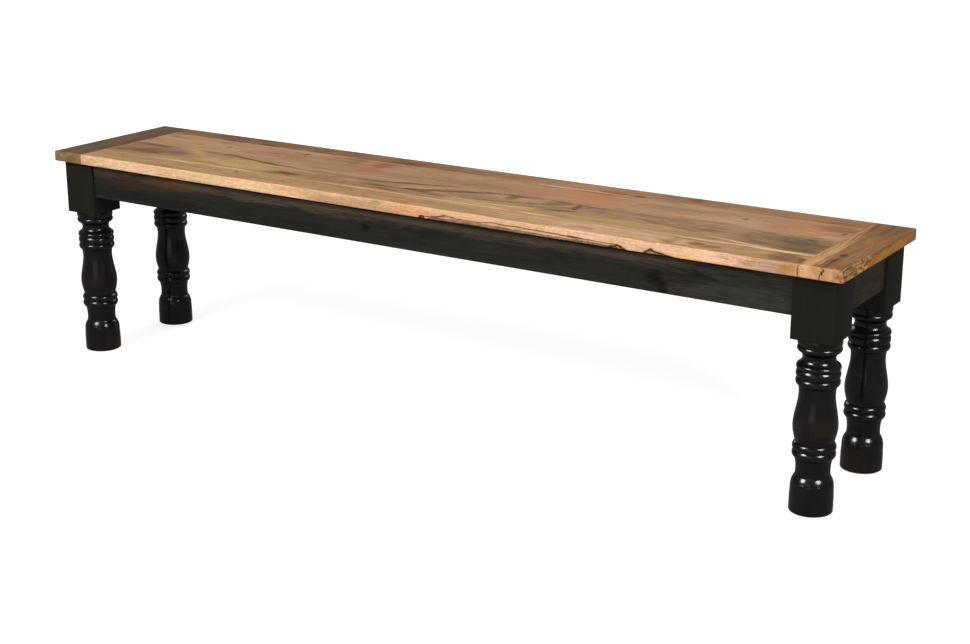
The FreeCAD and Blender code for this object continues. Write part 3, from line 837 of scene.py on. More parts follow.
# Each line as places along the bench and heights over the plank's underside
UPPER_CRACK = [(70, 4.0), (100, 6.0), (112, 9.6), (121, 11.6), (130, 11.0), (146, 9.2), (195, 8.2),
               (207, 10.0), (222, 11.8), (258, 11.0), (282, 12.0), (310, 10.6), (390, 9.2), (430, 8.2),
               (480, 7.6), (500, 5.0)]
LOWER_CRACK = [(80, 1.5), (110, 4.2), (140, 6.0), (200, 6.4), (240, 5.4), (300, 4.2), (350, 4.2), (430, 4.4),
               (495, 3.0)]
CHIPS = [(57, -1.0), (60, 3.4), (64, 5.6), (68, 5.4), (71, 4.6), (75, -1.0),
         (468, -1.0), (472, 2.0), (478, 4.5), (484, 5.0), (488, 8.6), (491, 9.0), (494, 6.0), (497, 7.2),
         (500, 4.0), (505, 2.5), (510, -1.0),
         (541, -1.0), (544, 3.0), (548, 6.0), (552, 7.6), (556, 10.5), (559, 9.2), (563, 6.8), (570, 5.4),
         (578, 4.2), (586, 2.4), (596, 1.2), (606, -1.0)]


def height_over(line, x, height):
    """Height in millimetres over a broken line at x, or a large height beside its ends."""
    if not line[0][0] < x < line[-1][0]:
        return FAR_OVER
    return height - np.interp(x, *zip(*line))


def wave(*place):
    """Smooth random wave between -1 and 1."""
    return noise.noise(Vector(place))


print("cracks:", len(UPPER_CRACK), "and", len(LOWER_CRACK), "points, chips:", len(CHIPS), "points")

# %% Front plank shape
STRIP, LEVELS, CUT_SHARE = 2.5, 14, 0.75
FACE_DEPTH = 4.0 * MM
CRACK_DEPTH, SPLIT_DEPTH, CHIP_DEPTH = 0.7, 0.5, 1.5


def cut_strips(board, places):
    """Cut a board's mesh by planes, each given as a place in metres and an axis."""
    for place, axis in places:
        point, normal = Vector((0, 0, 0)), Vector((0, 0, 0))
        point[axis], normal[axis] = place, 1.0
        bmesh.ops.bisect_plane(board, geom=board.verts[:] + board.edges[:] + board.faces[:],
                               plane_co=point, plane_no=normal)


plank = board_shape("top_plank_front")
plank_low, plank_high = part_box("top_plank_front")
first, last = CHIPS[0][0], CHIPS[-1][0]
level_gap = CUT_SHARE * (plank_high.z - plank_low.z) / LEVELS
cuts = [((first + STRIP * number) * MM, 0) for number in range(int((last - first) / STRIP) + 2)]
cuts += [(plank_low.z + ARRIS_ROUND + level_gap * level, 2) for level in range(1, LEVELS)]
cuts += [(plank_low.y + FACE_DEPTH, 1)]
cut_strips(plank, cuts)
layers = {name: plank.verts.layers.float.new(name) for name in ("over_crack", "over_split", "over_chip")}
for vertex in plank.verts:
    in_face = vertex.co.y - plank_low.y <= ARRIS_ROUND * 1.01
    x, height = vertex.co.x / MM, (vertex.co.z - plank_low.z) / MM
    wander = 0.5 * wave(x * 0.11, 3.0, 0.0) + 0.35 * wave(x * 0.31, 7.0, 0.0)
    over = {"over_crack": height_over(UPPER_CRACK, x, height) + wander,
            "over_split": height_over(LOWER_CRACK, x, height) + 1.6 * wander,
            "over_chip": height_over(CHIPS, x, height)}
    for name, layer in layers.items():
        vertex[layer] = over[name] if in_face else FAR_OVER
    if in_face:
        rough = 0.5 + wave(*(vertex.co * 240))
        deep = CRACK_DEPTH * np.clip(0.5 - over["over_crack"], 0, 1) * rough
        deep += SPLIT_DEPTH * np.clip(0.5 - over["over_split"], 0, 1) * rough
        deep += CHIP_DEPTH * np.clip(0.6 - over["over_chip"] / 2, 0, 1) * (0.6 + rough)
        vertex.co.y += max(0.0, deep) * MM
plank.normal_update()
print("front plank:", len(cuts), "cuts")

# %% [markdown]
# The finish of the front plank reads these heights. The whole face is calmer than the top and mottled by
# the saw. Just below the upper crack the wood is still tan, and below the lower one it is grey and dark.
# Both cracks are thin brown lines. The chips are dark red-brown along their upper rim and paler further in.

# %% Front plank finish
FACE_FROM, FACE_TO = -174.5 * MM, -173.5 * MM
MOTTLE_DARK, MOTTLE_LIGHT = (0.84, 0.82, 0.80, 1.0), (1.10, 1.10, 1.10, 1.0)


def front_face(tree):
    """Mask of the plank's front face."""
    spot = put(tree, "ShaderNodeTexCoord").outputs["Object"]
    return spread(tree, split(tree, spot)[1], FACE_FROM, FACE_TO, 1.0, 0.0)


def draw_cracks(tree, colour, place, fray):
    """Lay the mottling, the grey strip, the cracks and the chips over the plank's colour."""
    over = {name: put(tree, "ShaderNodeAttribute", attribute_name=name).outputs["Fac"] for name in layers}
    spots = spread(tree, patches(tree, place, 8, 4, 4.0, 0.75), 0.35, 0.65)
    mottled = blend(tree, 1.0, colour, blend(tree, spots, MOTTLE_DARK, MOTTLE_LIGHT), "MULTIPLY")
    colour = blend(tree, front_face(tree), colour, mottled)
    streaks = spread(tree, patches(tree, place, 26, 1.1, 3.0), 0.36, 0.64)
    ragged = times(tree, fray, 2.2, over["over_crack"])
    torn = times(tree, fray, 2.6, over["over_split"])
    tan = blend(tree, streaks, tone("ad835b"), tone("dab287"))
    grey = blend(tree, streaks, tone("43352a"), tone("a08467"))
    for height, high, low, much, stain in ((ragged, 0.5, -0.5, 0.75, tan), (torn, 0.6, -1.6, 0.9, grey),
                                           (torn, -2.8, -5.2, 0.7, tone("463828"))):
        colour = blend(tree, spread(tree, height, high, low, 0.0, much), colour, stain)
    swell = spread(tree, patches(tree, place, 38, 38), 0.38, 0.62, 1.8, 0.55)
    for height, width, much, stain in ((ragged, 1.9, 0.95, "5f2f12"), (torn, 1.6, 0.8, "4f3a28")):
        off_line = times(tree, calc(tree, "ABSOLUTE", height), swell)
        colour = blend(tree, spread(tree, off_line, 0.3, width, much, 0.0), colour, tone(stain))
    broken = times(tree, fray, 4.5, over["over_chip"])
    fresh = blend(tree, spread(tree, broken, -3.2, -5.8), tone("5a2c14"), tone("9a7a5c"))
    return blend(tree, spread(tree, broken, 0.9, -0.4), colour, fresh)


front_finish = board_finish("oiled_front", "bd9a74", "9b7952", front_marks + front_edge_marks, 6,
                            contrast=0.36, over=draw_cracks, calm=front_face)
finish_piece(as_mesh(plank, "front"), "board_front", front_finish, "top_wood", "top_plank_front")
print("finish:", front_finish.name)

# %% [markdown]
# The right end board keeps a bit of the tree's own edge on the front half of its outer side: the upper
# arris wanders in by up to 4 mm and the side is rough, with olive, tan and dark streaks. Behind the middle
# the saw has cleaned it. A Displace modifier would move the whole side, so the mesh is cut into strips again
# and only the points of the front half are pushed in, with a smooth random wave.

# %% Right end board
LIVE_END, LIVE_FADE = -38.0, 26.0
LIVE_DEPTH, LIVE_ROUGH = 4.0, 1.4
LIVE_STRIP, LIVE_LEVELS = 3.0, 9
RIM_WIDTH = 8.0


def draw_live_edge(tree, colour, place, fray):
    """Lay the streaks of the tree's own edge over the board's colour."""
    live = put(tree, "ShaderNodeAttribute", attribute_name="live").outputs["Fac"]
    blobs = spread(tree, patches(tree, place, 16, 4.5, 3.0, 0.6, 0.8), 0.36, 0.64)
    gaps = spread(tree, patches(tree, place, 30, 4.0, 2.0, 0.5, 0.8), 0.52, 0.64)
    bark = blend(tree, blobs, tone("664a20"), tone("bf9262"))
    bark = blend(tree, times(tree, gaps, 0.85), bark, tone("382713"))
    return blend(tree, spread(tree, live, 0.25, 0.75, 0.0, 0.95), colour, bark)


board = board_shape("end_board_right")
low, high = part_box("end_board_right")
thick = high.z - low.z
strips = int((LIVE_END - low.y / MM) / LIVE_STRIP)
cuts = [((low.y / MM + LIVE_STRIP * number) * MM, 1) for number in range(1, strips + 1)]
cuts += [(low.z + thick * level / LIVE_LEVELS, 2) for level in range(1, LIVE_LEVELS)]
cuts += [(high.x - RIM_WIDTH * MM, 0)]
cut_strips(board, cuts)
live = board.verts.layers.float.new("live")
for vertex in board.verts:
    if high.x - vertex.co.x > ARRIS_ROUND * 1.01:
        continue
    y, share = vertex.co.y / MM, (vertex.co.z - low.z) / thick
    here = min(1.0, max(0.0, (LIVE_END - y) / LIVE_FADE))
    wander = 0.45 + 0.5 * wave(y * 0.035, 1.0, 4.0) + 0.3 * wave(y * 0.12, 5.0, 2.0)
    rough = 0.5 * wave(*(vertex.co * 190)) + 0.3 * wave(*(vertex.co * 420))
    vertex[live] = here
    vertex.co.x -= here * max(0.0, LIVE_DEPTH * wander * share ** 1.3 + LIVE_ROUGH * max(0.0, rough)) * MM
board.normal_update()
right_finish = board_finish("oiled_right_end", "936e4d", "745337", right_end_marks, 5, -90,
                            over=draw_live_edge)
finish_piece(as_mesh(board, "right_end"), "board_right_end", right_finish, "top_wood", "end_board_right")
print("right end board:", len(cuts), "cuts for its live edge")

# %% [markdown]
# The legs are one turning, four times. Its outline is a chain of arcs for collars, beads, necks and rings,
# and a smooth line for the vase. A fine groove is turned into the shoulder of the foot, and below it the
# foot eases out to its full radius. The outline could be drawn by hand as one spline. Named heights and radii
# are easier to check against the real leg. All sizes are in millimetres, from the block down.

# %% Arcs and smooth lines
def arc_through(start, middle, end, steps):
    """Points on the circle through three points, without the first."""
    a, b, c = complex(*start), complex(*middle), complex(*end)
    ratio = (c - a) / (b - a)
    centre = a + (b - a) * (ratio - abs(ratio) ** 2) / (2j * ratio.imag)
    swing = cmath.phase((c - centre) / (a - centre))
    spots = [centre + (a - centre) * cmath.exp(1j * swing * step / steps) for step in range(1, steps + 1)]
    return [(spot.real, spot.imag) for spot in spots]


def smooth_through(points, steps):
    """Natural cubic line through points, evenly stepped by its chords, without the first."""
    points = np.array(points, float)
    knots = np.concatenate([[0], np.cumsum(np.linalg.norm(np.diff(points, axis=0), axis=1))])
    gaps = np.diff(knots)
    slopes = np.diff(points, axis=0) / gaps[:, None]
    system, right = np.eye(len(points)), np.zeros((len(points), 2))
    for row in range(1, len(points) - 1):
        system[row, row - 1:row + 2] = gaps[row - 1], 2 * (gaps[row - 1] + gaps[row]), gaps[row]
        right[row] = 6 * (slopes[row] - slopes[row - 1])
    bends = np.linalg.solve(system, right)
    line = []
    for at in np.linspace(0, knots[-1], steps + 1)[1:]:
        span = min(int(np.searchsorted(knots, at, side="left")) - 1, len(gaps) - 1)
        before, after, gap = knots[span + 1] - at, at - knots[span], gaps[span]
        spot = (bends[span] * before ** 3 + bends[span + 1] * after ** 3) / (6 * gap)
        spot += (points[span] / gap - bends[span] * gap / 6) * before
        spot += (points[span + 1] / gap - bends[span + 1] * gap / 6) * after
        line.append(tuple(spot))
    return line


print("half of a quarter turn:", [round(part, 3) for part in arc_through((1, 0), (0.8, 0.6), (0, 1), 2)[0]])

# %% Outline of the turning
FOOT_UNDERSIDE, FOOT_TOP, BLOCK_UNDERSIDE, BLOCK_LAP = 1.0, 47.3, 320.0, 0.5
COLLAR_START = 38.0
# Height, radius half way down and radius at the lower end: collars, neck and beads, then rings and neck
UPPER_STRETCHES = ((14.0, 39.0, 37.0), (10.8, 39.0, 34.8), (20.9, 28.8, 34.5),
                   (11.1, 38.9, 36.2), (15.2, 38.9, 36.2), (14.6, 38.9, 33.3))
LOWER_STRETCHES = ((14.8, 38.5, 36.0), (14.8, 38.5, 33.6), (33.0, 30.8, 31.5))
VASE_NECK, VASE_NECK_DROP = 32.1, 9.4
VASE_BELLY, VASE_BELLY_RISE = 39.4, 25.0
VASE_BASE = 34.0
SHOULDER_HEIGHT, SHOULDER_RADIUS = 20.5, 38.3
GROOVE_HEIGHT, GROOVE_DEPTH = 57.0, 0.9
FOOT_RADIUS, FOOT_EASE = 39.0, 22.0
FOOT_ROUND, FOOT_SAG = 1.5, 0.44
RECESS_RADIUS, RECESS_DEPTH = 28.1, 2.0
ARC_STEPS, VASE_STEPS = 10, 36


def foot_outline(start):
    """Shoulder with its groove and foot with its recess, from the shoulder's first point down."""
    swell = SHOULDER_RADIUS - start[0]
    bow = (SHOULDER_HEIGHT ** 2 + swell ** 2) / (2 * swell)

    def bowed(rise):
        """Radius of the shoulder at a height over the top of the foot."""
        return SHOULDER_RADIUS - bow + math.sqrt(bow ** 2 - rise ** 2)

    half_way = (bowed(SHOULDER_HEIGHT / 2), FOOT_TOP + SHOULDER_HEIGHT / 2)
    shoulder = arc_through(start, half_way, (SHOULDER_RADIUS, FOOT_TOP), 2 * ARC_STEPS)
    lip = GROOVE_HEIGHT - GROOVE_DEPTH
    groove_floor = bowed(lip - FOOT_TOP) - GROOVE_DEPTH
    line = [spot for spot in shoulder if spot[1] > GROOVE_HEIGHT + GROOVE_DEPTH]
    line += [(groove_floor + GROOVE_DEPTH * math.sin(turn), lip + GROOVE_DEPTH * math.cos(turn))
             for turn in np.linspace(0.0, math.pi / 2, 7)]
    line += [spot for spot in shoulder if spot[1] < lip - 0.1]
    for share in np.linspace(0.2, 1.0, 5):
        eased = (FOOT_RADIUS - SHOULDER_RADIUS) * share ** 2 * (3 - 2 * share)
        line.append((SHOULDER_RADIUS + eased, FOOT_TOP - FOOT_EASE * share))
    line.append((FOOT_RADIUS, FOOT_UNDERSIDE + FOOT_ROUND))
    line += arc_through(line[-1], (FOOT_RADIUS - FOOT_SAG, FOOT_UNDERSIDE + FOOT_SAG),
                        (FOOT_RADIUS - FOOT_ROUND, FOOT_UNDERSIDE), 4)
    recess_top = FOOT_UNDERSIDE + RECESS_DEPTH
    return line + [(RECESS_RADIUS, FOOT_UNDERSIDE), (RECESS_RADIUS, recess_top), (0.0, recess_top)]


def turning_outline():
    """Radius and height of the turning from the block down to the foot."""
    top = BLOCK_UNDERSIDE + BLOCK_LAP
    line = [(0.0, top), (COLLAR_START, top), (COLLAR_START, BLOCK_UNDERSIDE)]

    def add_stretches(stretches):
        for height, middle, end in stretches:
            top = line[-1][1]
            line.extend(arc_through(line[-1], (middle, top - height / 2), (end, top - height), ARC_STEPS))

    add_stretches(UPPER_STRETCHES)
    vase_base = FOOT_TOP + SHOULDER_HEIGHT + sum(height for height, middle, end in LOWER_STRETCHES)
    neck, belly = line[-1][1] - VASE_NECK_DROP, vase_base + VASE_BELLY_RISE
    half_way = ((VASE_NECK + VASE_BELLY) / 2, (neck + belly) / 2)
    vase = [line[-1], (VASE_NECK, neck), half_way, (VASE_BELLY, belly), (VASE_BASE, vase_base)]
    line += smooth_through(vase, VASE_STEPS)
    add_stretches(LOWER_STRETCHES)
    return line + foot_outline(line[-1])


outline = turning_outline()
widest = 2 * max(radius for radius, height in outline)
print("turning:", len(outline), "points, widest", round(widest, 1), "mm")

# %% [markdown]
# A lathe is a curve swept round a circle, which Geometry Nodes do with Curve to Mesh. A Screw modifier could
# turn one leg too, but the tree also joins the square block to the turning, sets the leg on four corner
# points, each turned so that its cut inner arris faces the middle, realizes the copies and gives them their
# finish.

# %% Leg tree
RAIL_RADIUS = 1.0 * MM
LEG_SEGMENTS = 112
MERGE_DISTANCE = 1e-6


def object_geometry(tree, source):
    """Geometry of the object that a group input names."""
    return put(tree, "GeometryNodeObjectInfo", {"Object": source}).outputs["Geometry"]


def dressed_copies(tree, points, instance, rotation, finish):
    """Copies of a geometry on points, realized and given their finish."""
    copies = put(tree, "GeometryNodeInstanceOnPoints",
                 {"Points": points, "Instance": instance, "Rotation": rotation}).outputs[0]
    real = put(tree, "GeometryNodeRealizeInstances", {0: copies}).outputs[0]
    return put(tree, "GeometryNodeSetMaterial", {"Geometry": real, "Material": finish}).outputs[0]


legs_tree, given, leave = start_group(
    "Legs at the corners", "GeometryNodeTree",
    [("Corners", "NodeSocketGeometry", None), ("Outline", "NodeSocketObject", None),
     ("Block", "NodeSocketObject", None), ("Segments", "NodeSocketInt", LEG_SEGMENTS),
     ("Rail radius", "NodeSocketFloat", RAIL_RADIUS), ("Finish", "NodeSocketMaterial", None)],
    [("Legs", "NodeSocketGeometry")])
line = put(legs_tree, "GeometryNodeMeshToCurve", {"Mesh": object_geometry(legs_tree, given["Outline"])})
rail = put(legs_tree, "GeometryNodeCurvePrimitiveCircle",
           {"Resolution": given["Segments"], "Radius": given["Rail radius"]})
lathe = put(legs_tree, "GeometryNodeCurveToMesh",
            {"Curve": rail.outputs[0], "Profile Curve": line.outputs[0]})
closed = put(legs_tree, "GeometryNodeMergeByDistance",
             {"Geometry": lathe.outputs[0], "Distance": MERGE_DISTANCE})
leg = put(legs_tree, "GeometryNodeJoinGeometry", {0: closed.outputs[0]})
feed(leg, {0: object_geometry(legs_tree, given["Block"])})
turn = put(legs_tree, "GeometryNodeInputNamedAttribute", {"Name": "turn"}, data_type="FLOAT").outputs[0]
spin = put(legs_tree, "ShaderNodeCombineXYZ", {2: turn}).outputs[0]
feed(leave, {"Legs": dressed_copies(legs_tree, given["Corners"], leg.outputs[0], spin, given["Finish"])})
print("tree:", legs_tree.name)

# %% [markdown]
# Black lacquer is a dark body under a glossy film. A little of the wood's brown shows through where the
# film is thin, on the widest rings of the turning and along the grain. The gloss varies softly, as wiped
# lacquer does. The square heads are rubbed down to satin, so their grain shows a little.

# %% Lacquer
LEG_X, LEG_Y = 859.5 * MM, 120.0 * MM
PROUD_FROM, PROUD_TO = 37.5 * MM, 39.2 * MM
HEAD_FROM, HEAD_TO = 318.0 * MM, 322.0 * MM
LACQUER_SEED = 7.0


def noise_at(tree, spot, scale, detail):
    """Plain noise at a place in metres."""
    return put(tree, "ShaderNodeTexNoise", {"Vector": spot, "Scale": scale, "Detail": detail}).outputs[0]


def black_lacquer():
    """Glossy black of the legs."""
    finish, tree, shader, spot = start_finish("black_lacquer")
    upright = put(tree, "ShaderNodeMapping", {"Vector": spot, "Scale": (1000, 1000, 1000),
                                              "Rotation": (0, math.radians(90), 0)}).outputs[0]
    grain = put(tree, "ShaderNodeGroup", {"Vector": upright, "Seed": LACQUER_SEED},
                node_tree=wood_fibres).outputs
    x, y, z = split(tree, spot)
    aside = calc(tree, "SUBTRACT", calc(tree, "ABSOLUTE", x), LEG_X)
    behind = calc(tree, "SUBTRACT", calc(tree, "ABSOLUTE", y), LEG_Y)
    radius = calc(tree, "SQRT", times(tree, aside, aside, times(tree, behind, behind)))
    proud = spread(tree, radius, PROUD_FROM, PROUD_TO)
    worn = times(tree, proud, spread(tree, grain["Drift"], 0.45, 0.9))
    head = spread(tree, z, HEAD_FROM, HEAD_TO)
    colour = blend(tree, grain["Bands"], tone("0f0e0c"), tone("090908"))
    colour = blend(tree, times(tree, worn, 0.4), colour, tone("241a12"))
    colour = blend(tree, head, colour, blend(tree, grain["Fibres"], tone("1d1b18"), tone("22201b")))
    smears = noise_at(tree, spot, 38.0, 3.0)
    film = times(tree, spread(tree, smears, 0.3, 0.7, 0.16, 0.125), spread(tree, head, 0.0, 1.0, 1.0, 0.2))
    ripple = times(tree, grain["Fibres"], 0.6, noise_at(tree, spot, 420.0, 1.0))
    bump = put(tree, "ShaderNodeBump", {"Strength": 0.08, "Distance": 0.0003, "Height": ripple})
    feed(shader, {"Base Color": colour, "Roughness": spread(tree, smears, 0.3, 0.7, 0.2, 0.32),
                  "Coat Weight": film, "Coat Roughness": 0.2, "Normal": bump.outputs[0],
                  "Specular IOR Level": 0.0})
    return finish


lacquer = black_lacquer()
print("finish:", lacquer.name)

# %% [markdown]
# The tree needs the outline as a line of points, the square block and four corner points with a turn.
# They are helper objects: the tree reads them, its result becomes one plain mesh, and they are deleted.
# The flat on the block's inner arris, where the corner block sits, is cut with a turned box.

# %% Helper objects
def helper_object(name, mesh):
    """Object that only feeds a tree or a cut, deleted after use."""
    made = bpy.data.objects.new(name, mesh)
    bpy.context.scene.collection.objects.link(made)
    return made


def drop_helpers(*helpers):
    """Delete helper objects."""
    for helper in helpers:
        bpy.data.objects.remove(helper)


def result_mesh(obj):
    """Plain mesh of what an object's modifiers make."""
    return bpy.data.meshes.new_from_object(obj.evaluated_get(bpy.context.evaluated_depsgraph_get()))


def run_tree(obj, tree, values):
    """Mesh that a tree makes from an object, with the tree's inputs set by name."""
    modifier = obj.modifiers.new(tree.name, "NODES")
    modifier.node_group = tree
    for item in tree.interface.items_tree:
        if item.item_type == "SOCKET" and item.in_out == "INPUT" and item.name in values:
            modifier[item.identifier] = values[item.name]
    mesh = result_mesh(obj)
    obj.modifiers.remove(modifier)
    return mesh


def cut_away(mesh, cutter_mesh, crossing=False):
    """Mesh minus a cutter, whose parts may cross each other."""
    whole, cutter = helper_object("whole", mesh), helper_object("cutter", cutter_mesh)
    cut = whole.modifiers.new("cut", "BOOLEAN")
    cut.operation, cut.object, cut.solver, cut.use_self = "DIFFERENCE", cutter, "EXACT", crossing
    made = result_mesh(whole)
    drop_helpers(whole, cutter)
    return made


def outward(mesh):
    """Merge doubles and turn all faces of a mesh outwards."""
    shape = bmesh.new()
    shape.from_mesh(mesh)
    bmesh.ops.remove_doubles(shape, verts=shape.verts, dist=MERGE_DISTANCE)
    bmesh.ops.recalc_face_normals(shape, faces=shape.faces)
    shape.to_mesh(mesh)
    shape.free()
    return mesh


print("helpers:", ", ".join(helper.__name__ for helper in (run_tree, cut_away, outward)))

# %% Leg block
BLOCK_SIDE, BLOCK_TOP, BLOCK_ROUND = 80.0 * MM, 435.0 * MM, 1.5 * MM
FLAT_WIDTH, FLAT_FOOT = 20.0 * MM, 370.0 * MM
CUT_PAST = 20.0 * MM


def leg_block():
    """Square head of a leg at the origin's axis, with the flat on its inner arris."""
    block, cutter = bmesh.new(), bmesh.new()
    height = BLOCK_TOP - BLOCK_UNDERSIDE * MM
    half_way = BLOCK_TOP - height / 2
    add_box(block, (BLOCK_SIDE, BLOCK_SIDE, height), (0, 0, half_way))
    arrises = [edge for edge in block.edges if min(vertex.co.z for vertex in edge.verts) < half_way]
    round_edges(block, arrises, BLOCK_ROUND, 3)
    add_box(cutter, (BLOCK_SIDE, BLOCK_SIDE, BLOCK_TOP - FLAT_FOOT + CUT_PAST))
    reach = BLOCK_SIDE * math.sqrt(0.5) - FLAT_WIDTH / 2 + BLOCK_SIDE / 2
    inner = -reach * math.sqrt(0.5)
    middle = Matrix.Translation((inner, inner, (BLOCK_TOP + CUT_PAST + FLAT_FOOT) / 2))
    turned = middle @ Matrix.Rotation(math.radians(45), 4, "Z")
    bmesh.ops.transform(cutter, matrix=turned, verts=cutter.verts)
    return cut_away(as_mesh(block, "block"), as_mesh(cutter, "flat"))


block_mesh = leg_block()
print("leg block:", len(block_mesh.polygons), "faces")

# %% Legs
SIGNS = [(1, 1), (-1, 1), (-1, -1), (1, -1)]
line_mesh = bpy.data.meshes.new("outline")
points = [(radius * MM - RAIL_RADIUS, -height * MM, 0) for radius, height in outline]
line_mesh.from_pydata(points, [(number, number + 1) for number in range(len(points) - 1)], [])
corner_mesh = bpy.data.meshes.new("corners")
corner_mesh.from_pydata([(LEG_X * x, LEG_Y * y, 0) for x, y in SIGNS], [], [])
turns = corner_mesh.attributes.new("turn", "FLOAT", "POINT")
turns.data.foreach_set("value", [math.radians(90 * number) for number in range(len(SIGNS))])
line_object, block_object = helper_object("outline", line_mesh), helper_object("leg_block", block_mesh)
corner_object = helper_object("corners", corner_mesh)
legs_mesh = run_tree(corner_object, legs_tree, {
    "Outline": line_object, "Block": block_object, "Finish": lacquer,
    "Segments": LEG_SEGMENTS, "Rail radius": RAIL_RADIUS})
drop_helpers(line_object, block_object, corner_object)
legs = finish_piece(outward(legs_mesh), "turned_legs", lacquer, "black_lacquer",
                    "leg_front_left", "leg_front_right", "leg_rear_left", "leg_rear_right")
lacquered.objects.link(legs)
heights = [vertex.co.z / MM for vertex in legs.data.vertices]
lowest, highest = round(min(heights), 2), round(max(heights), 2)
print("legs:", len(legs.data.polygons), "faces from", lowest, "to", highest, "mm")

# %% [markdown]
# The aprons keep their solids, which already have the right shape, and get black stain. It is thinner than
# the lacquer: the grain and brown zones show in it. The front apron shows the most: it is paler along its
# upper third, which is partly painted light that lifts the shadow of the overhang, with a thin black line of
# painted shade right under the top, brown zones at the left, a small dark knot in the middle, and a forked
# dark knot and swirls at the right. The marks lie on its front face, so their heights are the bench's Z.

# %% Aprons
front_apron_marks = [
    # Partly painted light: a paler band under the top that lifts the shadow of the overhang.
    on_apron(-40, 424, 1100, 15, "483f36", 0.85, soft=0.6),
    # Painted shade: a thin black line right under the top, where the overhang shades the apron.
    on_apron(0, 432, 1500, 6, "0f0e0d", soft=0.25, fray=0.3),
    on_apron(-330, 374, 340, 18, "1f1e1b", 0.6),
    on_apron(770, 420, 140, 14, "2b2926", 0.8),
    on_apron(720, 372, 130, 20, "36342f", 0.8),
    on_apron(-690, 378, 140, 22, "171a1a", 0.6),
    on_apron(-700, 408, 120, 16, "33291f", 0.6),
    on_apron(-600, 417, 90, 9, "4b3825", 0.6),
    on_apron(-560, 420, 50, 4, "614528", 0.4),
    on_apron(-462, 417, 16, 10, "43302c", 0.6),
    on_apron(-207, 415, 50, 7, "483b2b", 0.5),
    on_apron(-83, 392, 10, 5, "0f0b08"),
    on_apron(329, 413, 34, 2.6, "5a3b2b", 0.6),
    on_apron(557, 388, 15, 12, "100d0b", 0.75),
    on_apron(575, 372, 9, 12, "100d0b", 0.7),
    on_apron(700, 412, 95, 22, "141311", 0.5, spacing=0.3),
    on_apron(740, 395, 80, 26, "33322d", 0.5),
]
# Light and dark tone, marks, and turn of the grain
STAINS = {
    "apron_front": ("292926", "1b1c1a", front_apron_marks, 0),
    "apron_rear": ("292926", "1b1c1a", [], 0),
    "apron_left": ("37312a", "25211c", [], -90),
    "apron_right": ("37312a", "25211c", [], -90),
}


def set_finish(node, material):
    """Give a CAD node its finish."""
    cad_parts[node].material_slots[0].material = material


for seed, (node, (light, dark, marks, turn)) in enumerate(STAINS.items(), start=11):
    set_finish(node, board_finish("stained_" + node, light, dark, marks, seed, turn, rough=(0.34, 0.5),
                                  contrast=0.2, film=0.04, film_rough=0.3, pore=tone("0d0c0b")))
print("aprons:", ", ".join(STAINS))

# %% [markdown]
# Under the top, blocks and battens are plain softwood that never saw a finish. One finish serves each
# grain direction: across the bench for battens, along it for dowels, diagonal for the corner blocks.

# %% Raw wood
# Turn of the grain and nodes
RAW_WOOD = {
    "raw_battens": (-90, ("batten_left", "batten_centre", "batten_right")),
    "raw_dowels": (0, ("end_board_dowels_left", "end_board_dowels_right")),
    "raw_blocks_rising": (45, ("corner_block_front_left", "corner_block_rear_right")),
    "raw_blocks_falling": (-45, ("corner_block_front_right", "corner_block_rear_left")),
}
for seed, (name, (turn, nodes)) in enumerate(RAW_WOOD.items(), start=21):
    raw = board_finish(name, "c8a67c", "a98559", [], seed, turn, rough=(0.6, 0.75))
    for node in nodes:
        set_finish(node, raw)
print("raw wood:", ", ".join(RAW_WOOD))

# %% [markdown]
# Screws, bolts, washers and nuts are zinc plated: bright steel with a faint cloudy tint. The glides under
# the feet are moulded black nylon, finely pebbled and scuffed paler in places.

# %% Zinc and nylon
def zinc_plate():
    """Bright zinc with cloudy gloss."""
    finish, tree, shader, spot = start_finish("zinc_plate")
    clouds = noise_at(tree, spot, 260.0, 3.0)
    tint = blend(tree, spread(tree, clouds, 0.35, 0.65), tone("b9bab6"), tone("d0cbbb"))
    feed(shader, {"Base Color": tint, "Metallic": 1.0,
                  "Roughness": spread(tree, clouds, 0.3, 0.7, 0.28, 0.45)})
    return finish


def glide_nylon():
    """Moulded black nylon."""
    finish, tree, shader, spot = start_finish("glide_nylon")
    scuffs = noise_at(tree, spot, 90.0, 4.0)
    bump = put(tree, "ShaderNodeBump", {"Strength": 0.2, "Distance": 0.0002,
                                        "Height": noise_at(tree, spot, 900.0, 2.0)})
    tint = blend(tree, spread(tree, scuffs, 0.5, 0.75), tone("1b1b1c"), tone("3a3937"))
    feed(shader, {"Base Color": tint, "Roughness": spread(tree, scuffs, 0.3, 0.7, 0.5, 0.68),
                  "Normal": bump.outputs[0]})
    return finish


zinc, nylon = zinc_plate(), glide_nylon()
for corner in ("front_left", "front_right", "rear_left", "rear_right"):
    set_finish("foot_glide_" + corner, nylon)
print("finishes:", zinc.name, nylon.name)

# %% [markdown]
# Fittings repeat. They could be copied in a loop, but then each one would be an object of its own. Here one
# of each kind is modelled along Z, and a second tree sets it on points that carry a direction, all in one
# mesh. The four corners of the bench mirror each other: places are written for the rear right corner, along
# its diagonal and across it, and mirrored into the others.

# %% Fitting tree
fit_tree, given, leave = start_group(
    "Fittings on points", "GeometryNodeTree",
    [("Points", "NodeSocketGeometry", None), ("Fitting", "NodeSocketObject", None),
     ("Finish", "NodeSocketMaterial", None)],
    [("Fittings", "NodeSocketGeometry")])
aim = put(fit_tree, "GeometryNodeInputNamedAttribute", {"Name": "direction"}, data_type="FLOAT_VECTOR")
facing = put(fit_tree, "FunctionNodeAlignRotationToVector", {"Vector": aim.outputs[0]}, axis="Z").outputs[0]
fitting = object_geometry(fit_tree, given["Fitting"])
feed(leave, {"Fittings": dressed_copies(fit_tree, given["Points"], fitting, facing, given["Finish"])})


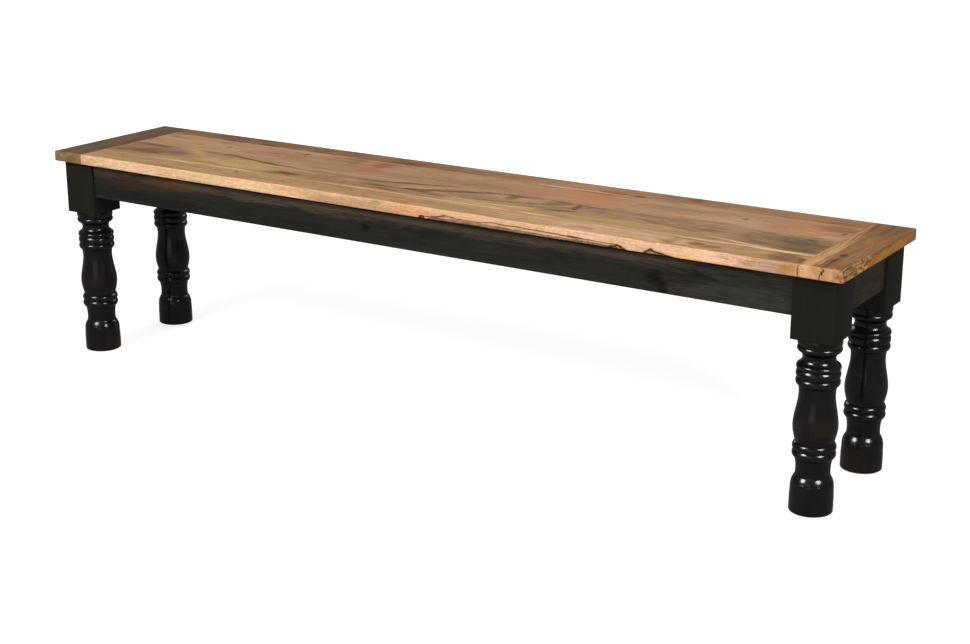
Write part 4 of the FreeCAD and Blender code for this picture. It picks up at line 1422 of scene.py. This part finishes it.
def set_fittings(name, fitting, places, node):
    """Set a fitting's mesh on places, each a point and a direction in millimetres."""
    mesh = bpy.data.meshes.new(name + "_points")
    mesh.from_pydata([point * MM for point, aim in places], [], [])
    aims = mesh.attributes.new("direction", "FLOAT_VECTOR", "POINT")
    aims.data.foreach_set("vector", [part for point, aim in places for part in aim])
    points, source = helper_object(name + "_points", mesh), helper_object(name + "_one", fitting)
    made = run_tree(points, fit_tree, {"Fitting": source, "Finish": zinc})
    drop_helpers(points, source)
    finish_piece(outward(made), name, zinc, "zinc_steel", node)
    print(name + ":", len(places))


print("tree:", fit_tree.name)

# %% Places in the corners
LEG_INNER, APRON_INNER = Vector((819.5, 80.0, 0.0)), Vector((868.5, 129.0, 0.0))
INWARD, ACROSS = Vector((-1, -1, 0)).normalized(), Vector((1, -1, 0)).normalized()
RIGHT, REAR, UP = Vector((1, 0, 0)), Vector((0, 1, 0)), Vector((0, 0, 1))


def in_corner(run, side, height):
    """Point of the rear right corner: along its diagonal, across it, and at a height."""
    return LEG_INNER + INWARD * run + ACROSS * side + UP * height


def in_corners(places):
    """The same places mirrored into all four corners."""
    return [(Vector((point.x * x, point.y * y, point.z)), Vector((aim.x * x, aim.y * y, aim.z)))
            for x, y in SIGNS for point, aim in places]


print("inner arris of the rear right leg:", LEG_INNER.x, LEG_INNER.y, "mm")

# %% [markdown]
# A pan-head screw is a lathe shape with a cross cut into its head. A dark cross could be painted on, but a
# real recess also looks right from the side. Each corner block has two screws up into the top and four into
# the aprons. Each batten has four screws up into the centre planks and a slanted one at both ends, in a
# pocket.

# %% Screw
SCREW_RADIUS, HEAD_RADIUS, HEAD_HEIGHT, TIP_HEIGHT, SCREW_SIDES = 2.1, 4.0, 2.5, 4.2, 20
# Outline of a screw's head as shares of its radius and height
PAN_HEAD = ((0, 1), (0.55, 1), (0.8, 0.88), (0.95, 0.6), (1, 0.25), (1, 0))
CROSS_WIDTH, CROSS_LENGTH, CROSS_DEPTH = 1.1, 4.6, 1.3


def lathe_mesh(name, outline, sides, flats=None):
    """Closed lathe shape round Z from radius and height pairs, or a hexagon where flats are given."""
    shape = bmesh.new()
    rings = []
    for radius, height in outline:
        ring = []
        for side in range(sides if radius else 1):
            angle, reach = 2 * math.pi * side / sides, radius
            if flats:
                off_flat = (angle + math.pi / 6) % (math.pi / 3) - math.pi / 6
                reach = min(radius, flats / 2 / math.cos(off_flat))
            spot = Vector((reach * math.cos(angle), reach * math.sin(angle), height))
            ring.append(shape.verts.new(spot * MM))
        rings.append(ring)
    for lower, upper in zip(rings, rings[1:]):
        for side in range(sides):
            corner = [lower[side % len(lower)], lower[(side + 1) % len(lower)],
                      upper[(side + 1) % len(upper)], upper[side % len(upper)]]
            loop = list(dict.fromkeys(corner))
            if len(loop) > 2:
                shape.faces.new(loop)
    bmesh.ops.recalc_face_normals(shape, faces=shape.faces)
    return as_mesh(shape, name)


def wood_screw(length):
    """Pan-head screw: its head stands below Z zero and its shank rises to this length."""
    head = [(HEAD_RADIUS * out, -HEAD_HEIGHT * down) for out, down in PAN_HEAD]
    shank = [(SCREW_RADIUS, 0), (SCREW_RADIUS, length - TIP_HEIGHT), (0, length)]
    cross = bmesh.new()
    for size in ((CROSS_LENGTH, CROSS_WIDTH, 2 * CROSS_DEPTH), (CROSS_WIDTH, CROSS_LENGTH, 2 * CROSS_DEPTH)):
        add_box(cross, Vector(size) * MM, (0, 0, -HEAD_HEIGHT * MM))
    return cut_away(lathe_mesh("screw", head + shank, SCREW_SIDES), as_mesh(cross, "cross"), crossing=True)


print("screw head:", 2 * HEAD_RADIUS, "mm wide")

# %% Screws
BLOCK_MIDDLE_Z = 405.0
DRAW_RUN = 2.8
TOP_SEAT_SIDE, TOP_SEAT_Z = 44, 409
APRON_SEAT_GRIP, APRON_SEAT_SIDE, APRON_SEAT_Z = 10, 49, 17
BATTENS, BATTEN_UNDERSIDE, BATTEN_OFFSET = (-520.0, 0.0, 520.0), 413, 11
BATTEN_SEATS = (36.05, 92.05, -19.425, -74.375)
POCKET_ANGLE, POCKET_WEB, POCKET_Z = math.radians(15), 15, 424
top_places = in_corners([(in_corner(DRAW_RUN, side * TOP_SEAT_SIDE, TOP_SEAT_Z), UP) for side in (-1, 1)])
reach = LEG_INNER - (RIGHT + REAR) * (APRON_SEAT_SIDE + DRAW_RUN * math.sqrt(2))
seat = APRON_INNER - (RIGHT + REAR) * APRON_SEAT_GRIP
seat_heights = [BLOCK_MIDDLE_Z + APRON_SEAT_Z * side for side in (-1, 1)]
side_places = in_corners([(Vector((seat.x, reach.y, height)), RIGHT) for height in seat_heights]
                         + [(Vector((reach.x, seat.y, height)), REAR) for height in seat_heights])
batten_places = [(Vector((x - BATTEN_OFFSET, y, BATTEN_UNDERSIDE)), UP)
                 for x in BATTENS for y in BATTEN_SEATS]
pocket_places = []
for x in BATTENS:
    for side in (-1, 1):
        aim = Vector((0, side * math.cos(POCKET_ANGLE), math.sin(POCKET_ANGLE)))
        mouth = Vector((x + BATTEN_OFFSET, side * APRON_INNER.y, POCKET_Z))
        pocket_places.append((mouth - aim * POCKET_WEB, aim))
set_fittings("screws_to_top", wood_screw(40.0), top_places, "top_screws")
set_fittings("screws_to_aprons", wood_screw(26.0), side_places, "corner_block_screws")
set_fittings("screws_in_battens", wood_screw(36.0), batten_places, "batten_screws")
set_fittings("screws_in_pockets", wood_screw(31.0), pocket_places, "batten_pocket_screws")

# %% [markdown]
# Two hanger bolts hold each leg to its corner block, with a washer and a nut on the inner side. A thread is a
# helix, but a row of rings is fine enough to read as thread and stays a simple lathe shape. A nut is a
# hexagon with its corners turned off.

# %% Bolts, washers and nuts
BOLT_RADIUS, BOLT_END_RADIUS, BOLT_LENGTH, BOLT_SIDES = 4.0, 3.3, 82.9, 24
THREAD_FROM, THREAD_PITCH, THREAD_DEPTH, THREAD_MARGIN = 66.0, 1.25, 0.55, 0.6
WASHER_OUTER, WASHER_INNER, WASHER_THICKNESS, WASHER_EASE = 11.0, 4.5, 1.6, 0.2
NUT_FLATS, NUT_BORE, NUT_FACE, NUT_HEIGHT, NUT_EASE = 13.0, 4.1, 6.1, 6.5, 0.55
RING_SIDES = 36
BOLT_RUN, WASHER_RUN, NUT_RUN = -55.0, 14.8, 16.4
BOLT_OFFSET = 15


def hanger_bolt():
    """Stud with a threaded tail of fine rings."""
    outline = [(0, 0), (BOLT_RADIUS, 0), (BOLT_RADIUS, THREAD_FROM)]
    height = THREAD_FROM
    while height + THREAD_PITCH < BOLT_LENGTH - THREAD_MARGIN:
        outline.append((BOLT_RADIUS - THREAD_DEPTH, height + THREAD_PITCH / 2))
        height += THREAD_PITCH
        outline.append((BOLT_RADIUS, height))
    return lathe_mesh("bolt", outline + [(BOLT_END_RADIUS, BOLT_LENGTH), (0, BOLT_LENGTH)], BOLT_SIDES)


def eased_ring(bore, face, rim, height, ease):
    """Outline of a ring whose outer rims are eased, from its bore round and back to it."""
    return [(bore, 0), (face, 0), (rim, ease), (rim, height - ease), (face, height), (bore, height),
            (bore, 0)]


washer_outline = eased_ring(WASHER_INNER, WASHER_OUTER - WASHER_EASE, WASHER_OUTER, WASHER_THICKNESS,
                            WASHER_EASE)
washer = lathe_mesh("washer", washer_outline, RING_SIDES)
nut_outline = eased_ring(NUT_BORE, NUT_FACE, NUT_FLATS / math.sqrt(3), NUT_HEIGHT, NUT_EASE)
nut = lathe_mesh("nut", nut_outline, RING_SIDES, NUT_FLATS)
bolt_heights = [BLOCK_MIDDLE_Z - BOLT_OFFSET, BLOCK_MIDDLE_Z + BOLT_OFFSET]
for name, mesh, run, node in (("leg_bolts", hanger_bolt(), BOLT_RUN, "hanger_bolts"),
                              ("leg_washers", washer, WASHER_RUN, "hanger_washers"),
                              ("leg_nuts", nut, NUT_RUN, "hanger_nuts")):
    places = in_corners([(in_corner(run, 0, height), INWARD) for height in bolt_heights])
    set_fittings(name, mesh, places, node)

# %% [markdown]
# Standard view keeps colours as they are written.

# %% Finish
bpy.context.scene.view_settings.view_transform = "Standard"
